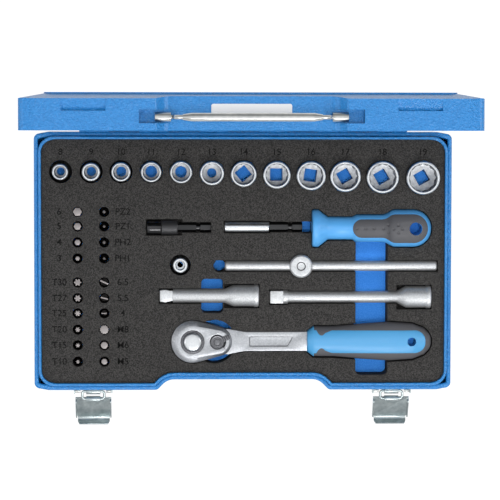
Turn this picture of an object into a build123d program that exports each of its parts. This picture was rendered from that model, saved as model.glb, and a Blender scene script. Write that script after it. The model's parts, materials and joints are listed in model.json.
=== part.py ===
from build123d import *
import os
from math import cos, radians, sqrt, tan

os.makedirs("parts", exist_ok=True)

# Socket wrench set in a hinged case of pressed sheet steel, lid open.
# Millimetres, +Z up, origin at the middle of the underside of the case, front towards -Y.
# What the lid carries and what the latches are made of is drawn shut, then turned open.

# Case: plan outline with a shallow slope beside each corner and a hand recess in the front
case_width = 323.0
case_depth = 200.0
base_height = 33.0
sheet = 1.0
corner_radius = 4.5
corner_run = 11.0
corner_drop = 2.0
recess_depth = 8.1
recess_half = 58.5
recess_inner_radius = 12.0
recess_mouth_radius = 4.0
bottom_round = 2.5
bead = 3.5
bead_round = 1.5
lip = 2.2
lip_rise = 4.0
lip_drop = 9.0
lip_corner = 12.0
lip_round = 0.8

# Lid: wall, crowned border and raised field, with a rolled hem along its rim
lid_gap = 0.3
lid_wall = 22.2
crown_rise = 3.3
crown_run = 17.0
field_rise = 1.0
field_corner = 6.0
hem = 2.4
hem_height = 3.0
lid_pad_thickness = 12.0
lid_pad_margin = 3.0
label_width = 56.0
label_height = 8.0
label_thickness = 0.3
label_from_rim = 14.5
label_corner = 1.5

# Piano hinge on the back walls
hinge_length = 253.0
hinge_knuckles = 11
knuckle_radius = 2.6
pin_radius = 1.2
pin_play = 0.1
knuckle_play = 0.2
leaf_height = 12.0
leaf_thickness = 1.0
leaf_clear = 0.4
lid_swing = 90.0

# Carrying handle: a wire bail in two ferrules, with a thicker grip on its bar
ferrule_radius = 3.3
ferrule_length = 11.0
ferrule_inner_end = 56.0
ferrule_from_rim = 9.4
bail_wire = 3.0
bail_half = 53.0
bail_reach = 22.0
bail_bend = 2.7
bail_play = 0.1
grip_half = 48.0
grip_diameter = 5.8
grip_taper = 6.0
grip_end_wall = 0.4
trough_end = 78.0
trough_low = 5.1
trough_high = 14.6

# Draw latches: bracket, wire link and clasp plate that hooks over a ledge of the lid
latch_x = 116.5
pocket_width = 31.0
pocket_depth = 3.0
ledge_from_rim = 13.7
bracket_height = 15.0
bracket_sheet = 1.0
ear_spacing = 30.0
ear_reach = 4.0
rivet_radius = 1.5
rivet_head = 0.8
rivet_spacing = 17.4
link_drop = 14.0
link_wire = 1.9
link_width = 17.3
link_reach = 6.5
link_bend = 2.2
curl_play = 0.1
curl_stand = 0.3
curl_wall = 1.3
curl_width = 11.0
clasp_width = 28.0
clasp_sheet = 1.0
clasp_flange = 3.0
clasp_flange_start = 1.5
hook_width = 20.0
hook_bend = 2.6
hook_gap = 0.3
hook_tip_clear = 0.8
link_swing = 105.0
clasp_swing = 20.0

# Foam tray: dark layer with the pockets over a blue layer
top_foam = 22.0
foam_proud = 1.0
foam_gap = 0.2
foam_corner = 9.0
pocket_clear = 0.5
seat = 0.3

# Sockets in one row, size: outside diameter, place along the row, turn of the drive square, web hole
# A web hole of 0 stands for a drive square that goes right through to the wrench opening
sockets = {
    8: (12.45, -140.9, 0, 6.2),
    9: (14.2, -117.3, 0, 7.1),
    10: (15.0, -94.3, 0, 7.7),
    11: (16.0, -71.1, 0, 9.0),
    12: (17.2, -48.1, 0, 9.0),
    13: (18.7, -24.3, 0, 7.2),
    14: (19.9, 0.1, 39, 0),
    15: (21.3, 25.7, 0, 0),
    16: (22.5, 52.1, -8.5, 0),
    17: (23.7, 78.6, 30, 0),
    18: (24.9, 107.4, 30, 0),
    19: (25.8, 138.6, 29, 0),
}
socket_row_back = 78.1
socket_length = 28.0
socket_play = 0.1
drive_end_diameter = 16.8
drive_end_length = 13.0
drive_square = 9.53
square_play = 0.1
square_depth = 11.5
web_thickness = 3.5
socket_chamfer = 0.7
lead_in = 0.3

# Screwdriver bits standing in two columns
bit_length = 25.0
bit_hex = 6.35
bit_hex_length = 13.0
bit_hole = 8.0
bit_left_x = -127.9
bit_right_x = -107.4
upper_rows = [38.3, 27.1, 14.7, 2.3]
lower_rows = [-16.2, -28.5, -40.2, -52.8, -65.0, -77.7]
bit_cone = 2.0
bit_play = 0.05
hex_tips = [6.0, 5.0, 4.0, 3.0]
star_tips = [5.6, 5.1, 4.5, 3.9, 3.3, 2.8]
star_lobe = 0.12
star_root = 0.38
cross_tips = [5.8, 4.6, 5.8, 4.6]
slot_tips = [(6.5, 1.2, -25), (5.5, 1.0, -15), (4.0, 0.8, 0)]
blade_neck = 5.75
spline_tips = [7.2, 5.8, 4.8]
cross_point = 0.2
cross_web = 0.2

# Adapter from the drive square to a bit, standing on end
adapter_x = -48.7
adapter_y = -2.9
adapter_diameter = 11.5
adapter_foot = 15.2
adapter_length = 25.0
adapter_hole = 4.5

# Quick-change chuck and magnetic holder, both with a grooved hex shank, lying along X
lying_depth = 3.0
shank_hex = 6.35
shank_length = 25.4
groove_width = 3.4
groove_from_end = 7.8
groove_depth = 0.5
hex_bore = 6.5
bore_depth = 12.0
chuck_x = -74.7
chuck_y = 26.3
chuck_diameter = 11.8
chuck_nose = 11.0
chuck_sleeve = 13.0
chuck_core = 9.0
sleeve_play = 0.15
sleeve_travel = 3.0
magnet_x = -14.6
magnet_y = 26.6
magnet_sleeve_diameter = 8.8
magnet_sleeve_length = 34.8
magnet_diameter = 5.4
magnet_thickness = 3.0

# Driver handle lying along X
driver_x = 53.1
driver_y = 25.5
driver_depth = 5.0
driver_length = 93.0
driver_flange = 29.4
driver_flange_length = 5.0
driver_flange_round = 2.0
driver_neck = 18.0
driver_neck_from = 12.5
driver_neck_to = 31.3
driver_waist = 21.4
driver_waist_from = 34.4
driver_waist_to = 54.0
driver_belly = 29.3
driver_belly_from = 65.0
driver_pad_from = 31.4
driver_pad_to = 90.5
driver_pad_edge = 3.5
driver_pad_round = 5.0
driver_pad_thickness = 2.0
driver_hole = 10.0
driver_hole_at = 79.8
driver_hole_rim = 1.0

# Sliding T-handle
tbar_y = -3.7
tbar_depth = 4.0
rod_from = -14.2
rod_length = 164.7
rod_diameter = 8.0
rod_play = 0.15
rod_travel = 6.5
head_x = 44.7
head_diameter = 17.8
head_rise = 7.0
head_drop = 10.0
head_chamfer = 1.2
head_disc = 7.0
square_length = 10.5
ball_diameter = 3.2
ball_proud = 0.7
ball_from_end = 4.7

# Extension bars lying along X
bar_depth = 5.0
short_x = -64.9
short_y = -26.9
short_length = 77.0
short_shaft = 11.1
short_female = 16.8
wobble_end = 8.6
wobble_neck = 7.6
wobble_bulge_at = 4.7
wobble_neck_at = 9.2
long_x = 20.5
long_y = -27.9
long_length = 125.2
long_shaft = 9.2
long_female = 17.0
bar_collar = 11.2
bar_collar_length = 3.7
female_length = 19.4
bar_cone = 7.0
end_ring = 0.6
end_ring_length = 3.6

# Reversible ratchet lying along X
ratchet_x = -39.2
ratchet_y = -62.3
ratchet_depth = 11.0
ratchet_head_radius = 16.6
ratchet_head_height = 13.0
ratchet_bevel = 4.0
ratchet_bevel_drop = 2.5
ratchet_neck_radius = 11.5
ratchet_neck_bevel = 2.3
shank_width = 15.0
shank_root_width = 19.6
shank_root_x = -11.0
shank_straight_x = 1.0
shank_root_bend = 30.0
shank_rise = 3.0
shank_height = 7.0
shank_panel_from = 4.7
shank_panel_to = 39.1
shank_panel_width = 7.7
shank_panel_slant = 4.6
shank_panel_round = 1.2
shank_panel_depth = 0.5
cover_thickness = 1.2
gear_teeth = 36
gear_radius = 10.8
tooth_depth = 0.8
gear_clear = 0.3
head_floor = 2.5
drive_neck_radius = 8.0
hub_radius = 8.9
hub_play = 0.3
button_diameter = 14.3
button_thickness = 3.0
button_rise = 1.5
button_travel = 2.5
stem_radius = 1.6
stem_floor = 2.0
stem_clear = 1.0
lever_x = -20.1
lever_disc = 5.3
lever_tip = 9.2
lever_tip_radius = 1.8
lever_height = 2.0
lever_swing = 48.0
lever_turn = lever_swing / 2
lever_notch_play = 0.5
lever_notch_angle = 42.0
pawl_hub = 4.6
pawl_nose = 1.2
pawl_reach = 6.2
pawl_spread = 3.0
pawl_room = 6.7
pawl_slot = 11.6
pawl_ratio = 0.25
ratchet_grip_from = 49.7
ratchet_grip_length = 96.7
grip_height_axis = 7.0
tang_width = 9.0
tang_height = 5.0
tang_length = 60.0
inlay_width = 17.6
inlay_level = 12.2
inlay_collar = 5.2
inlay_neck = 12.6
inlay_neck_at = 12.6
inlay_neck_bend = 3.0
inlay_panel_at = 19.0
inlay_panel_bend = 7.0
inlay_end_margin = 5.1
inlay_end_round = 8.2
grip_hole = 6.8
grip_hole_at = 80.8

# Finger slots through the dark layer, where the blue layer shows: middle, width along X, along Y, corner
finger_slots = [
    (99.5, -35.2, 25.0, 106.4, 4.0),
    (-24.0, -26.8, 17.0, 26.5, 3.0),
    (49.2, 26.4, 7.6, 9.0, 1.5),
]
finger_hole_x = -22.4
finger_hole_radius = 17.0
rod_hole_radius = 4.7
ball_room = 1.0

# Seams between the blocks that the dark layer is made up of: behind the bits, beside the driver, and so on
seam_sockets = 46.5
seam_socket_row = -12.4
seam_bits = -85.0
seam_driver = 49.2
seam_rod_back = 8.0
seam_rod_front = -15.5
seam_ratchet = -43.0

# Levels and places that follow from the sizes above
lid_rim = base_height + lid_gap
lid_shoulder = lid_rim + lid_wall
lid_crown = lid_shoulder + crown_rise
lid_top = lid_crown + field_rise
recess_floor = recess_depth - case_depth / 2
hinge_y = case_depth / 2 + leaf_clear + knuckle_radius
hinge_z = base_height + lid_gap / 2
foam_level = base_height + foam_proud
foam_floor = foam_level - top_foam
foam_inset = bead + lip + foam_gap
bit_foot = foam_level - bit_length
lying_z = foam_level - lying_depth
driver_z = foam_level - driver_depth
tbar_z = foam_level - tbar_depth
bar_z = foam_level - bar_depth
ratchet_z = foam_level - ratchet_depth
ratchet_top = ratchet_z + ratchet_head_height


def keep(piece, name):
    # Labels a finished piece and writes it under its own name
    piece.label = name
    export_step(piece, f"parts/{name}.step")


hinge_axis = Axis((0, hinge_y, hinge_z), (1, 0, 0))


def opened(piece):
    # Turns a piece that is drawn on the shut lid to where the open lid holds it
    return piece.rotate(hinge_axis, -lid_swing)


def case_outline(inset, corner):
    # Plan outline of the case, drawn in by an inset, with its corners rounded
    half_width = case_width / 2 - inset
    half_depth = case_depth / 2 - inset
    # The slopes of the recess lie at 45 degrees, so an inset moves their ends by this share of it
    shift = inset * tan(radians(22.5))
    floor_x = recess_half + shift
    mouth_x = floor_x + recess_depth
    right = [
        (floor_x, recess_depth - half_depth),
        (mouth_x, -half_depth),
        (half_width - corner_run, -half_depth),
        (half_width, corner_drop - half_depth),
        (half_width, half_depth - corner_drop),
        (half_width - corner_run, half_depth),
    ]
    left = [(-x, y) for x, y in reversed(right)]
    with BuildSketch(mode=Mode.PRIVATE) as outline:
        with BuildLine():
            Polyline(*right, *left, close=True)
        make_face()
        at_corner = [v for v in outline.vertices() if abs(abs(v.X) - half_width) < 0.01]
        fillet(at_corner, corner)
        at_floor = [v for v in outline.vertices() if abs(abs(v.X) - floor_x) < 0.01 and v.Y < 0]
        fillet(at_floor, recess_inner_radius + inset)
        at_mouth = [v for v in outline.vertices() if abs(abs(v.X) - mouth_x) < 0.01 and v.Y < 0]
        fillet(at_mouth, max(recess_mouth_radius - inset, sheet))
    return outline.sketch


# Base: a drawn tray whose rim is rolled inwards into a bead
with BuildPart() as base_shell:
    with BuildSketch():
        add(case_outline(0, corner_radius))
    extrude(amount=base_height)
    fillet(base_shell.edges().group_by(Axis.Z)[0], bottom_round)
    with BuildSketch(Plane.XY.offset(sheet)):
        add(case_outline(sheet, corner_radius - sheet))
    extrude(amount=base_height, mode=Mode.SUBTRACT)
    with BuildSketch(Plane.XY.offset(base_height - bead)):
        add(case_outline(0, corner_radius))
        add(case_outline(bead, corner_radius - bead), mode=Mode.SUBTRACT)
    extrude(amount=bead)
    fillet(base_shell.edges().group_by(Axis.Z)[-1], bead_round)
keep(base_shell.part, "base_shell")

# Lip: a strip spot-welded inside the bead, which stands up and guides the lid
with BuildPart() as rim_lip:
    with BuildSketch(Plane.XY.offset(base_height - lip_drop)):
        add(case_outline(bead, lip_corner))
        add(case_outline(bead + lip, lip_corner - lip), mode=Mode.SUBTRACT)
    extrude(amount=lip_drop + lip_rise)
    fillet(rim_lip.edges().group_by(Axis.Z)[-1], lip_round)
keep(rim_lip.part, "rim_lip")


def lid_block(inset):
    # The lid as a solid block, drawn in by an inset on every face; its pockets grow by that inset
    with BuildPart() as envelope:
        with BuildSketch(Plane.XY.offset(lid_rim - inset)):
            Rectangle(case_width - 2 * inset, case_depth - 2 * inset)
        extrude(amount=lid_wall)
        with BuildSketch(Plane.XY.offset(lid_shoulder - inset)):
            Rectangle(case_width - 2 * inset, case_depth - 2 * inset)
        with BuildSketch(Plane.XY.offset(lid_crown - inset)):
            Rectangle(case_width - 2 * crown_run, case_depth - 2 * crown_run)
        loft(ruled=True)
        with BuildSketch(Plane.XY.offset(lid_crown - inset)):
            RectangleRounded(
                case_width - 2 * crown_run - 2 * inset, case_depth - 2 * crown_run - 2 * inset, field_corner
            )
        extrude(amount=field_rise)
    with BuildPart() as block:
        with BuildSketch(Plane.XY.offset(lid_rim - inset)):
            add(case_outline(inset, corner_radius - inset))
        extrude(amount=lid_top - lid_rim)
        add(envelope.part, mode=Mode.INTERSECT)
        front = -case_depth / 2
        ledge = lid_rim + ledge_from_rim
        for side in (-1, 1):
            with BuildSketch(Plane.YZ.offset(side * latch_x - pocket_width / 2 - inset)):
                with BuildLine():
                    Polyline(
                        (front - 1, ledge - inset),
                        (front + pocket_depth + inset, ledge - inset),
                        (front + inset, lid_shoulder),
                        (front - 1, lid_shoulder),
                        close=True,
                    )
                make_face()
            extrude(amount=pocket_width + 2 * inset, mode=Mode.SUBTRACT)
            trough_from = recess_half - recess_inner_radius / 2
            trough_middle = (trough_from + trough_end + inset) / 2
            with BuildSketch(Plane.XZ.offset(-recess_floor - inset)):
                with Locations((side * trough_middle, lid_rim + (trough_low + trough_high) / 2)):
                    Rectangle(trough_end - trough_from + inset, trough_high - trough_low + 2 * inset)
            extrude(amount=recess_depth + inset + 1, mode=Mode.SUBTRACT)
    return block.part


# Lid: pressed from one sheet, with a hem, latch pockets, hand recess and handle troughs
lid_outside = lid_block(0)
lid_inside = lid_block(sheet)
with BuildPart() as lid_shell:
    add(lid_outside)
    add(lid_inside, mode=Mode.SUBTRACT)
    with BuildSketch(Plane.XY.offset(lid_rim)):
        add(case_outline(0, corner_radius))
        add(case_outline(hem, corner_radius - hem), mode=Mode.SUBTRACT)
    extrude(amount=hem_height)
keep(opened(lid_shell.part), "lid_shell")

# Foam pad glued under the raised field of the lid
with BuildPart() as lid_pad:
    with BuildSketch(Plane.XY.offset(lid_top - sheet)):
        RectangleRounded(
            case_width - 2 * (crown_run + sheet + lid_pad_margin),
            case_depth - 2 * (crown_run + sheet + lid_pad_margin),
            field_corner,
        )
    extrude(amount=-lid_pad_thickness)
keep(opened(lid_pad.part), "lid_pad")

# Blank label on the floor of the hand recess
with BuildPart() as lid_label:
    with BuildSketch(Plane.XZ.offset(-recess_floor)):
        with Locations((0, lid_rim + label_from_rim)):
            RectangleRounded(label_width, label_height, label_corner)
    extrude(amount=label_thickness)
keep(opened(lid_label.part), "lid_label")

# Hinge: two leaves whose knuckles take turns along the pin
knuckle_pitch = hinge_length / hinge_knuckles


def hinge_leaf(first, upwards):
    # One leaf on the back wall, reaching up or down from the pin, with every second knuckle
    leaf_y = (case_depth + leaf_thickness) / 2
    near = knuckle_radius + knuckle_play
    with BuildPart() as leaf:
        with Locations((0, leaf_y, hinge_z + upwards * (near + leaf_height) / 2)):
            Box(hinge_length, leaf_thickness, leaf_height - near)
        for place in range(first, hinge_knuckles, 2):
            x = (place + 0.5) * knuckle_pitch - hinge_length / 2
            with Locations((x, leaf_y, hinge_z + upwards * near / 2)):
                Box(knuckle_pitch - knuckle_play, leaf_thickness, near)
            with Locations(Location((x, hinge_y, hinge_z), (0, 90, 0))):
                Cylinder(knuckle_radius, knuckle_pitch - knuckle_play)
        with Locations(Location((0, hinge_y, hinge_z), (0, 90, 0))):
            Cylinder(pin_radius + pin_play, hinge_length, mode=Mode.SUBTRACT)
    return leaf.part


keep(hinge_leaf(0, -1), "hinge_leaf_base")
keep(opened(hinge_leaf(1, 1)), "hinge_leaf_lid")
with BuildPart() as hinge_pin:
    with BuildSketch(Plane.YZ.offset(-hinge_length / 2)):
        with Locations((hinge_y, hinge_z)):
            Circle(pin_radius)
    extrude(amount=hinge_length)
keep(hinge_pin.part, "hinge_pin")

# Ferrules riveted in the ends of the hand recess; the bail turns in them
bail_y = recess_floor - ferrule_radius
bail_z = lid_rim + ferrule_from_rim
with BuildPart() as handle_ferrules:
    for side in (-1, 1):
        ferrule_x = side * (ferrule_inner_end + ferrule_length / 2)
        with Locations(Location((ferrule_x, bail_y, bail_z), (0, 90, 0))):
            Cylinder(ferrule_radius, ferrule_length)
        foot_from = max(ferrule_inner_end, recess_half)
        foot_to = ferrule_inner_end + ferrule_length
        with Locations((side * (foot_from + foot_to) / 2, (bail_y + recess_floor) / 2, bail_z)):
            Box(foot_to - foot_from, ferrule_radius, ferrule_radius)
    with Locations(Location((0, bail_y, bail_z), (0, 90, 0))):
        Cylinder(bail_wire / 2 + bail_play, case_width / 2, mode=Mode.SUBTRACT)
keep(opened(handle_ferrules.part), "handle_ferrules")

# Bail of round wire, standing straight out from the front wall
bail_end = ferrule_inner_end + ferrule_length - sheet
with BuildPart() as handle_bail:
    with BuildLine(Plane.XY.offset(bail_z)) as bail_path:
        FilletPolyline(
            (-bail_end, bail_y),
            (-bail_half, bail_y),
            (-bail_half, bail_y - bail_reach),
            (bail_half, bail_y - bail_reach),
            (bail_half, bail_y),
            (bail_end, bail_y),
            radius=bail_bend,
        )
    with BuildSketch(Plane(origin=bail_path.line @ 0, z_dir=bail_path.line % 0)):
        Circle(bail_wire / 2)
    sweep()
keep(opened(handle_bail.part), "handle_bail")

# Grip moulded round the bar of the bail, thinner towards both ends
with BuildPart() as handle_grip:
    with BuildSketch(Plane.XY.offset(bail_z)):
        with BuildLine():
            Polyline(
                (-grip_half, bail_y - bail_reach + bail_wire / 2),
                (-grip_half, bail_y - bail_reach + bail_wire / 2 + grip_end_wall),
                (grip_taper - grip_half, bail_y - bail_reach + grip_diameter / 2),
                (grip_half - grip_taper, bail_y - bail_reach + grip_diameter / 2),
                (grip_half, bail_y - bail_reach + bail_wire / 2 + grip_end_wall),
                (grip_half, bail_y - bail_reach + bail_wire / 2),
                close=True,
            )
        make_face()
    revolve(axis=Axis((0, bail_y - bail_reach, bail_z), (1, 0, 0)))
keep(opened(handle_grip.part), "handle_grip")

# Latches
link_y = -case_depth / 2 - bracket_sheet - link_wire / 2 - curl_play - curl_stand
link_z = base_height - link_drop
clasp_z = link_z + link_reach
curl_inner = link_wire / 2 + curl_play
curl_outer = curl_inner + curl_wall
link_axis = Axis((0, link_y, link_z), (1, 0, 0))
clasp_axis = Axis((0, link_y, clasp_z), (1, 0, 0))
front_wall = -case_depth / 2
bracket_top = clasp_z - curl_outer - hook_gap
bracket_low = bracket_top - bracket_height

# Brackets pressed from strip: a back plate with a curl for the link and an ear at each side
with BuildPart() as latch_brackets:
    for side in (-1, 1):
        with Locations((side * latch_x, front_wall - bracket_sheet / 2, (bracket_top + bracket_low) / 2)):
            Box(ear_spacing, bracket_sheet, bracket_height)
        for ear in (-1, 1):
            ear_x = side * latch_x + ear * (ear_spacing - bracket_sheet) / 2
            with Locations((ear_x, front_wall - ear_reach / 2, bracket_top - bracket_height / 4)):
                Box(bracket_sheet, ear_reach, bracket_height / 2)
        with Locations(Location((side * latch_x, link_y, link_z), (0, 90, 0))):
            Cylinder(curl_outer, curl_width)
        with Locations((side * latch_x, front_wall + curl_outer, link_z)):
            Box(curl_width, 2 * curl_outer, 2 * curl_outer, mode=Mode.SUBTRACT)
        with Locations(Location((side * latch_x, link_y, link_z), (0, 90, 0))):
            Cylinder(curl_inner, ear_spacing, mode=Mode.SUBTRACT)
keep(latch_brackets.part, "latch_brackets")

# Rivets that hold the brackets
rivet_z = bracket_low + bracket_height / 4
with BuildPart() as latch_rivets:
    for side in (-1, 1):
        with BuildSketch(Plane.XZ.offset(case_depth / 2 + bracket_sheet)):
            with Locations((side * latch_x, rivet_z)):
                with GridLocations(rivet_spacing, 0, 2, 1):
                    Circle(rivet_radius)
        extrude(amount=rivet_head)
    chamfer(latch_rivets.faces().sort_by(Axis.Y)[:4].edges(), rivet_head / 2)
keep(latch_rivets.part, "latch_rivets")


def latch_link(x):
    # Closed loop of wire, upright as it lies when the latch is shut
    with BuildPart() as link:
        with BuildLine(Plane.XZ.offset(-link_y)) as loop:
            FilletPolyline(
                (x, link_z),
                (x + link_width / 2, link_z),
                (x + link_width / 2, clasp_z),
                (x - link_width / 2, clasp_z),
                (x - link_width / 2, link_z),
                (x - 0.01, link_z),
                radius=link_bend,
            )
        with BuildSketch(Plane(origin=loop.line @ 0, z_dir=loop.line % 0)):
            Circle(link_wire / 2)
        sweep()
    return link.part


def latch_clasp(x):
    # Plate with turned-in sides, curled round the upper bar of the link and bent over the ledge of the lid
    plate_y = link_y - curl_outer
    inner_y = plate_y + clasp_sheet
    hook_z = lid_rim + ledge_from_rim + hook_gap
    hook_top = hook_z + clasp_sheet
    bend_z = hook_z - hook_bend
    tip_y = front_wall + pocket_depth - hook_tip_clear
    slant = cos(radians(45))
    with BuildPart() as clasp:
        with Locations((x, plate_y + clasp_sheet / 2, (clasp_z + bend_z) / 2)):
            Box(clasp_width, clasp_sheet, bend_z - clasp_z)
        with BuildSketch(Plane.YZ.offset(x - hook_width / 2)):
            with BuildLine():
                bend_y = inner_y + hook_bend
                Line((plate_y, bend_z), (inner_y, bend_z))
                ThreePointArc(
                    (inner_y, bend_z),
                    (bend_y - hook_bend * slant, bend_z + hook_bend * slant),
                    (bend_y, hook_z),
                )
                Polyline((bend_y, hook_z), (tip_y, hook_z), (tip_y, hook_top), (bend_y, hook_top))
                outer_bend = hook_bend + clasp_sheet
                ThreePointArc(
                    (bend_y, hook_top),
                    (bend_y - outer_bend * slant, bend_z + outer_bend * slant),
                    (plate_y, bend_z),
                )
            make_face()
        extrude(amount=hook_width)
        flange_from = clasp_z + clasp_flange_start
        for side in (-1, 1):
            flange_x = x + side * (clasp_width - clasp_sheet) / 2
            with Locations((flange_x, inner_y + clasp_flange / 2, (flange_from + bend_z) / 2)):
                Box(clasp_sheet, clasp_flange, bend_z - flange_from)
        rounded = clasp.edges().filter_by(Axis.X).group_by(SortBy.LENGTH)[0].filter_by_position(
            Axis.Y, inner_y + clasp_flange - pin_play, inner_y + clasp_flange + pin_play
        )
        fillet(rounded, clasp_flange / 2)
        with Locations(Location((x, link_y, clasp_z), (0, 90, 0))):
            Cylinder(curl_outer, curl_width)
            Cylinder(curl_inner, clasp_width, mode=Mode.SUBTRACT)
    return clasp.part


for name, x in (("left", -latch_x), ("right", latch_x)):
    keep(latch_link(x).rotate(link_axis, link_swing), f"latch_link_{name}")
    keep(latch_clasp(x).rotate(clasp_axis, clasp_swing).rotate(link_axis, link_swing), f"latch_clasp_{name}")


def drive_end(outside):
    # Diameter of the drive end, which is the wider end of the small sockets
    return max(outside, drive_end_diameter)


def socket_y(outside):
    # The pockets of the row line up along their back edges
    return socket_row_back - drive_end(outside) / 2 - pocket_clear


def socket(size, outside, foot, length, points, place, turn, hole):
    # Socket on end: wrench opening of one or two hexagons at the top, drive square at the foot
    with BuildPart() as piece:
        with BuildSketch(Plane(place)):
            Circle(foot / 2)
        extrude(amount=drive_end_length if foot > outside else length)
        if foot > outside:
            with BuildSketch(Plane(place).offset(drive_end_length)):
                Circle(foot / 2)
            with BuildSketch(Plane(place).offset(drive_end_length + (foot - outside) / 2)):
                Circle(outside / 2)
            loft()
            with BuildSketch(Plane(place).offset(drive_end_length + (foot - outside) / 2)):
                Circle(outside / 2)
            extrude(amount=length - drive_end_length - (foot - outside) / 2)
        chamfer(piece.edges().filter_by(GeomType.CIRCLE).group_by(Axis.Z)[0], socket_chamfer)
        chamfer(piece.edges().filter_by(GeomType.CIRCLE).group_by(Axis.Z)[-1], socket_chamfer)
        opening_floor = square_depth + web_thickness
        with BuildSketch(Plane(place).offset(opening_floor)):
            for corner in range(points):
                RegularPolygon(size / 2 + socket_play, 6, major_radius=False, rotation=30 * corner)
        extrude(amount=length, mode=Mode.SUBTRACT)
        # The lead-in starts at the flats of the hexagon and ends just past its corners
        flat_radius = size / 2
        lead = flat_radius * (1 / cos(radians(30)) - 1) + lead_in
        with BuildSketch(Plane(place).offset(length - lead)):
            Circle(flat_radius)
        with BuildSketch(Plane(place).offset(length)):
            Circle(flat_radius + lead)
        loft(mode=Mode.SUBTRACT)
        with BuildSketch(Plane(place)):
            Rectangle(drive_square + square_play, drive_square + square_play, rotation=turn)
        extrude(amount=square_depth if hole else opening_floor, mode=Mode.SUBTRACT)
        if hole:
            with BuildSketch(Plane(place)):
                Circle(hole / 2)
            extrude(amount=opening_floor, mode=Mode.SUBTRACT)
    return piece.part


# Sockets with twelve points, standing on the blue foam with the wrench opening up
for size, (outside, x, turn, hole) in sockets.items():
    place = (x, socket_y(outside), foam_floor)
    keep(socket(size, outside, drive_end(outside), socket_length, 2, place, turn, hole), f"socket_{size}")

# Adapter: the same form with a plain hexagon for the bits
adapter_place = (adapter_x, adapter_y, foam_floor)
adapter = socket(bit_hex, adapter_diameter, adapter_foot, adapter_length, 1, adapter_place, 0, adapter_hole)
keep(adapter, "bit_adapter")


def bit_blank(x, y, neck):
    # Hex shank of a bit with a cone down to its neck, added to the part in hand
    with BuildPart(mode=Mode.PRIVATE) as blank:
        with BuildSketch(Plane((x, y, bit_foot))):
            RegularPolygon(bit_hex / 2, 6, major_radius=False)
        extrude(amount=bit_hex_length)
        with BuildSketch(Plane((x, y, bit_foot + bit_hex_length))):
            Circle(bit_hex / 2 - bit_play)
        with BuildSketch(Plane((x, y, bit_foot + bit_hex_length + bit_cone))):
            Circle(neck / 2)
        loft()
    return blank.part


tip_from = bit_foot + bit_hex_length + bit_cone
tip_length = foam_level - tip_from

# Hexagon bits
with BuildPart() as hex_bits:
    for y, tip in zip(upper_rows, hex_tips):
        add(bit_blank(bit_left_x, y, tip))
        with BuildSketch(Plane((bit_left_x, y, tip_from))):
            RegularPolygon(tip / 2, 6, major_radius=False)
        extrude(amount=tip_length)
keep(hex_bits.part, "hex_bits")

# Star bits with six rounded lobes
with BuildPart() as star_bits:
    for y, tip in zip(lower_rows, star_tips):
        add(bit_blank(bit_left_x, y, tip + 2 * bit_play))
        with BuildSketch(Plane((bit_left_x, y, tip_from))):
            RegularPolygon(tip * star_root, 6)
            with PolarLocations(tip * (0.5 - star_lobe), 6):
                Circle(tip * star_lobe)
        extrude(amount=tip_length)
keep(star_bits.part, "star_bits")

# Cross bits: a cone with four flutes
with BuildPart() as cross_bits:
    for y, tip in zip(upper_rows, cross_tips):
        add(bit_blank(bit_right_x, y, tip))
        with BuildSketch(Plane((bit_right_x, y, tip_from))):
            Circle(tip / 2)
        with BuildSketch(Plane((bit_right_x, y, foam_level))):
            Circle(tip * cross_point)
        loft()
        with BuildSketch(Plane((bit_right_x, y, tip_from + bit_cone))):
            flute = tip / 2
            with GridLocations(flute + tip * cross_web, flute + tip * cross_web, 2, 2):
                Rectangle(flute, flute)
        extrude(amount=tip_length, mode=Mode.SUBTRACT)
keep(cross_bits.part, "cross_bits")

# Slotted bits: a flat blade on a round neck
with BuildPart() as slotted_bits:
    for y, (width, blade, turn) in zip(lower_rows, slot_tips):
        neck = min(width, blade_neck)
        add(bit_blank(bit_right_x, y, neck))
        with BuildSketch(Plane((bit_right_x, y, tip_from))):
            Circle(neck / 2)
        extrude(amount=tip_length / 2)
        with BuildSketch(Plane((bit_right_x, y, tip_from + tip_length / 2))):
            Rectangle(width, blade, rotation=turn)
        extrude(amount=tip_length / 2)
keep(slotted_bits.part, "slotted_bits")

# Spline bits: three squares turned on each other
with BuildPart() as spline_bits:
    for y, tip in zip(lower_rows[len(slot_tips):], spline_tips):
        add(bit_blank(bit_right_x, y, min(tip, bit_hex - 2 * bit_play)))
        side = tip / sqrt(2)
        with BuildSketch(Plane((bit_right_x, y, tip_from))):
            for turn in (0, 30, 60):
                Rectangle(side, side, rotation=turn)
        extrude(amount=tip_length)
keep(spline_bits.part, "spline_bits")


def along_x(x, y, z):
    # Plane across a tool that lies along X
    return Plane(origin=(x, y, z), x_dir=(0, 1, 0), z_dir=(1, 0, 0))


def groove(x, y, z):
    # Ring that turns the groove into a hex shank whose end is at x
    with BuildPart(mode=Mode.PRIVATE) as ring:
        with BuildSketch(along_x(x - groove_from_end - groove_width, y, z)):
            Circle(shank_hex)
            Circle(shank_hex / 2 - groove_depth, mode=Mode.SUBTRACT)
        extrude(amount=groove_width)
    return ring.part


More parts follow.
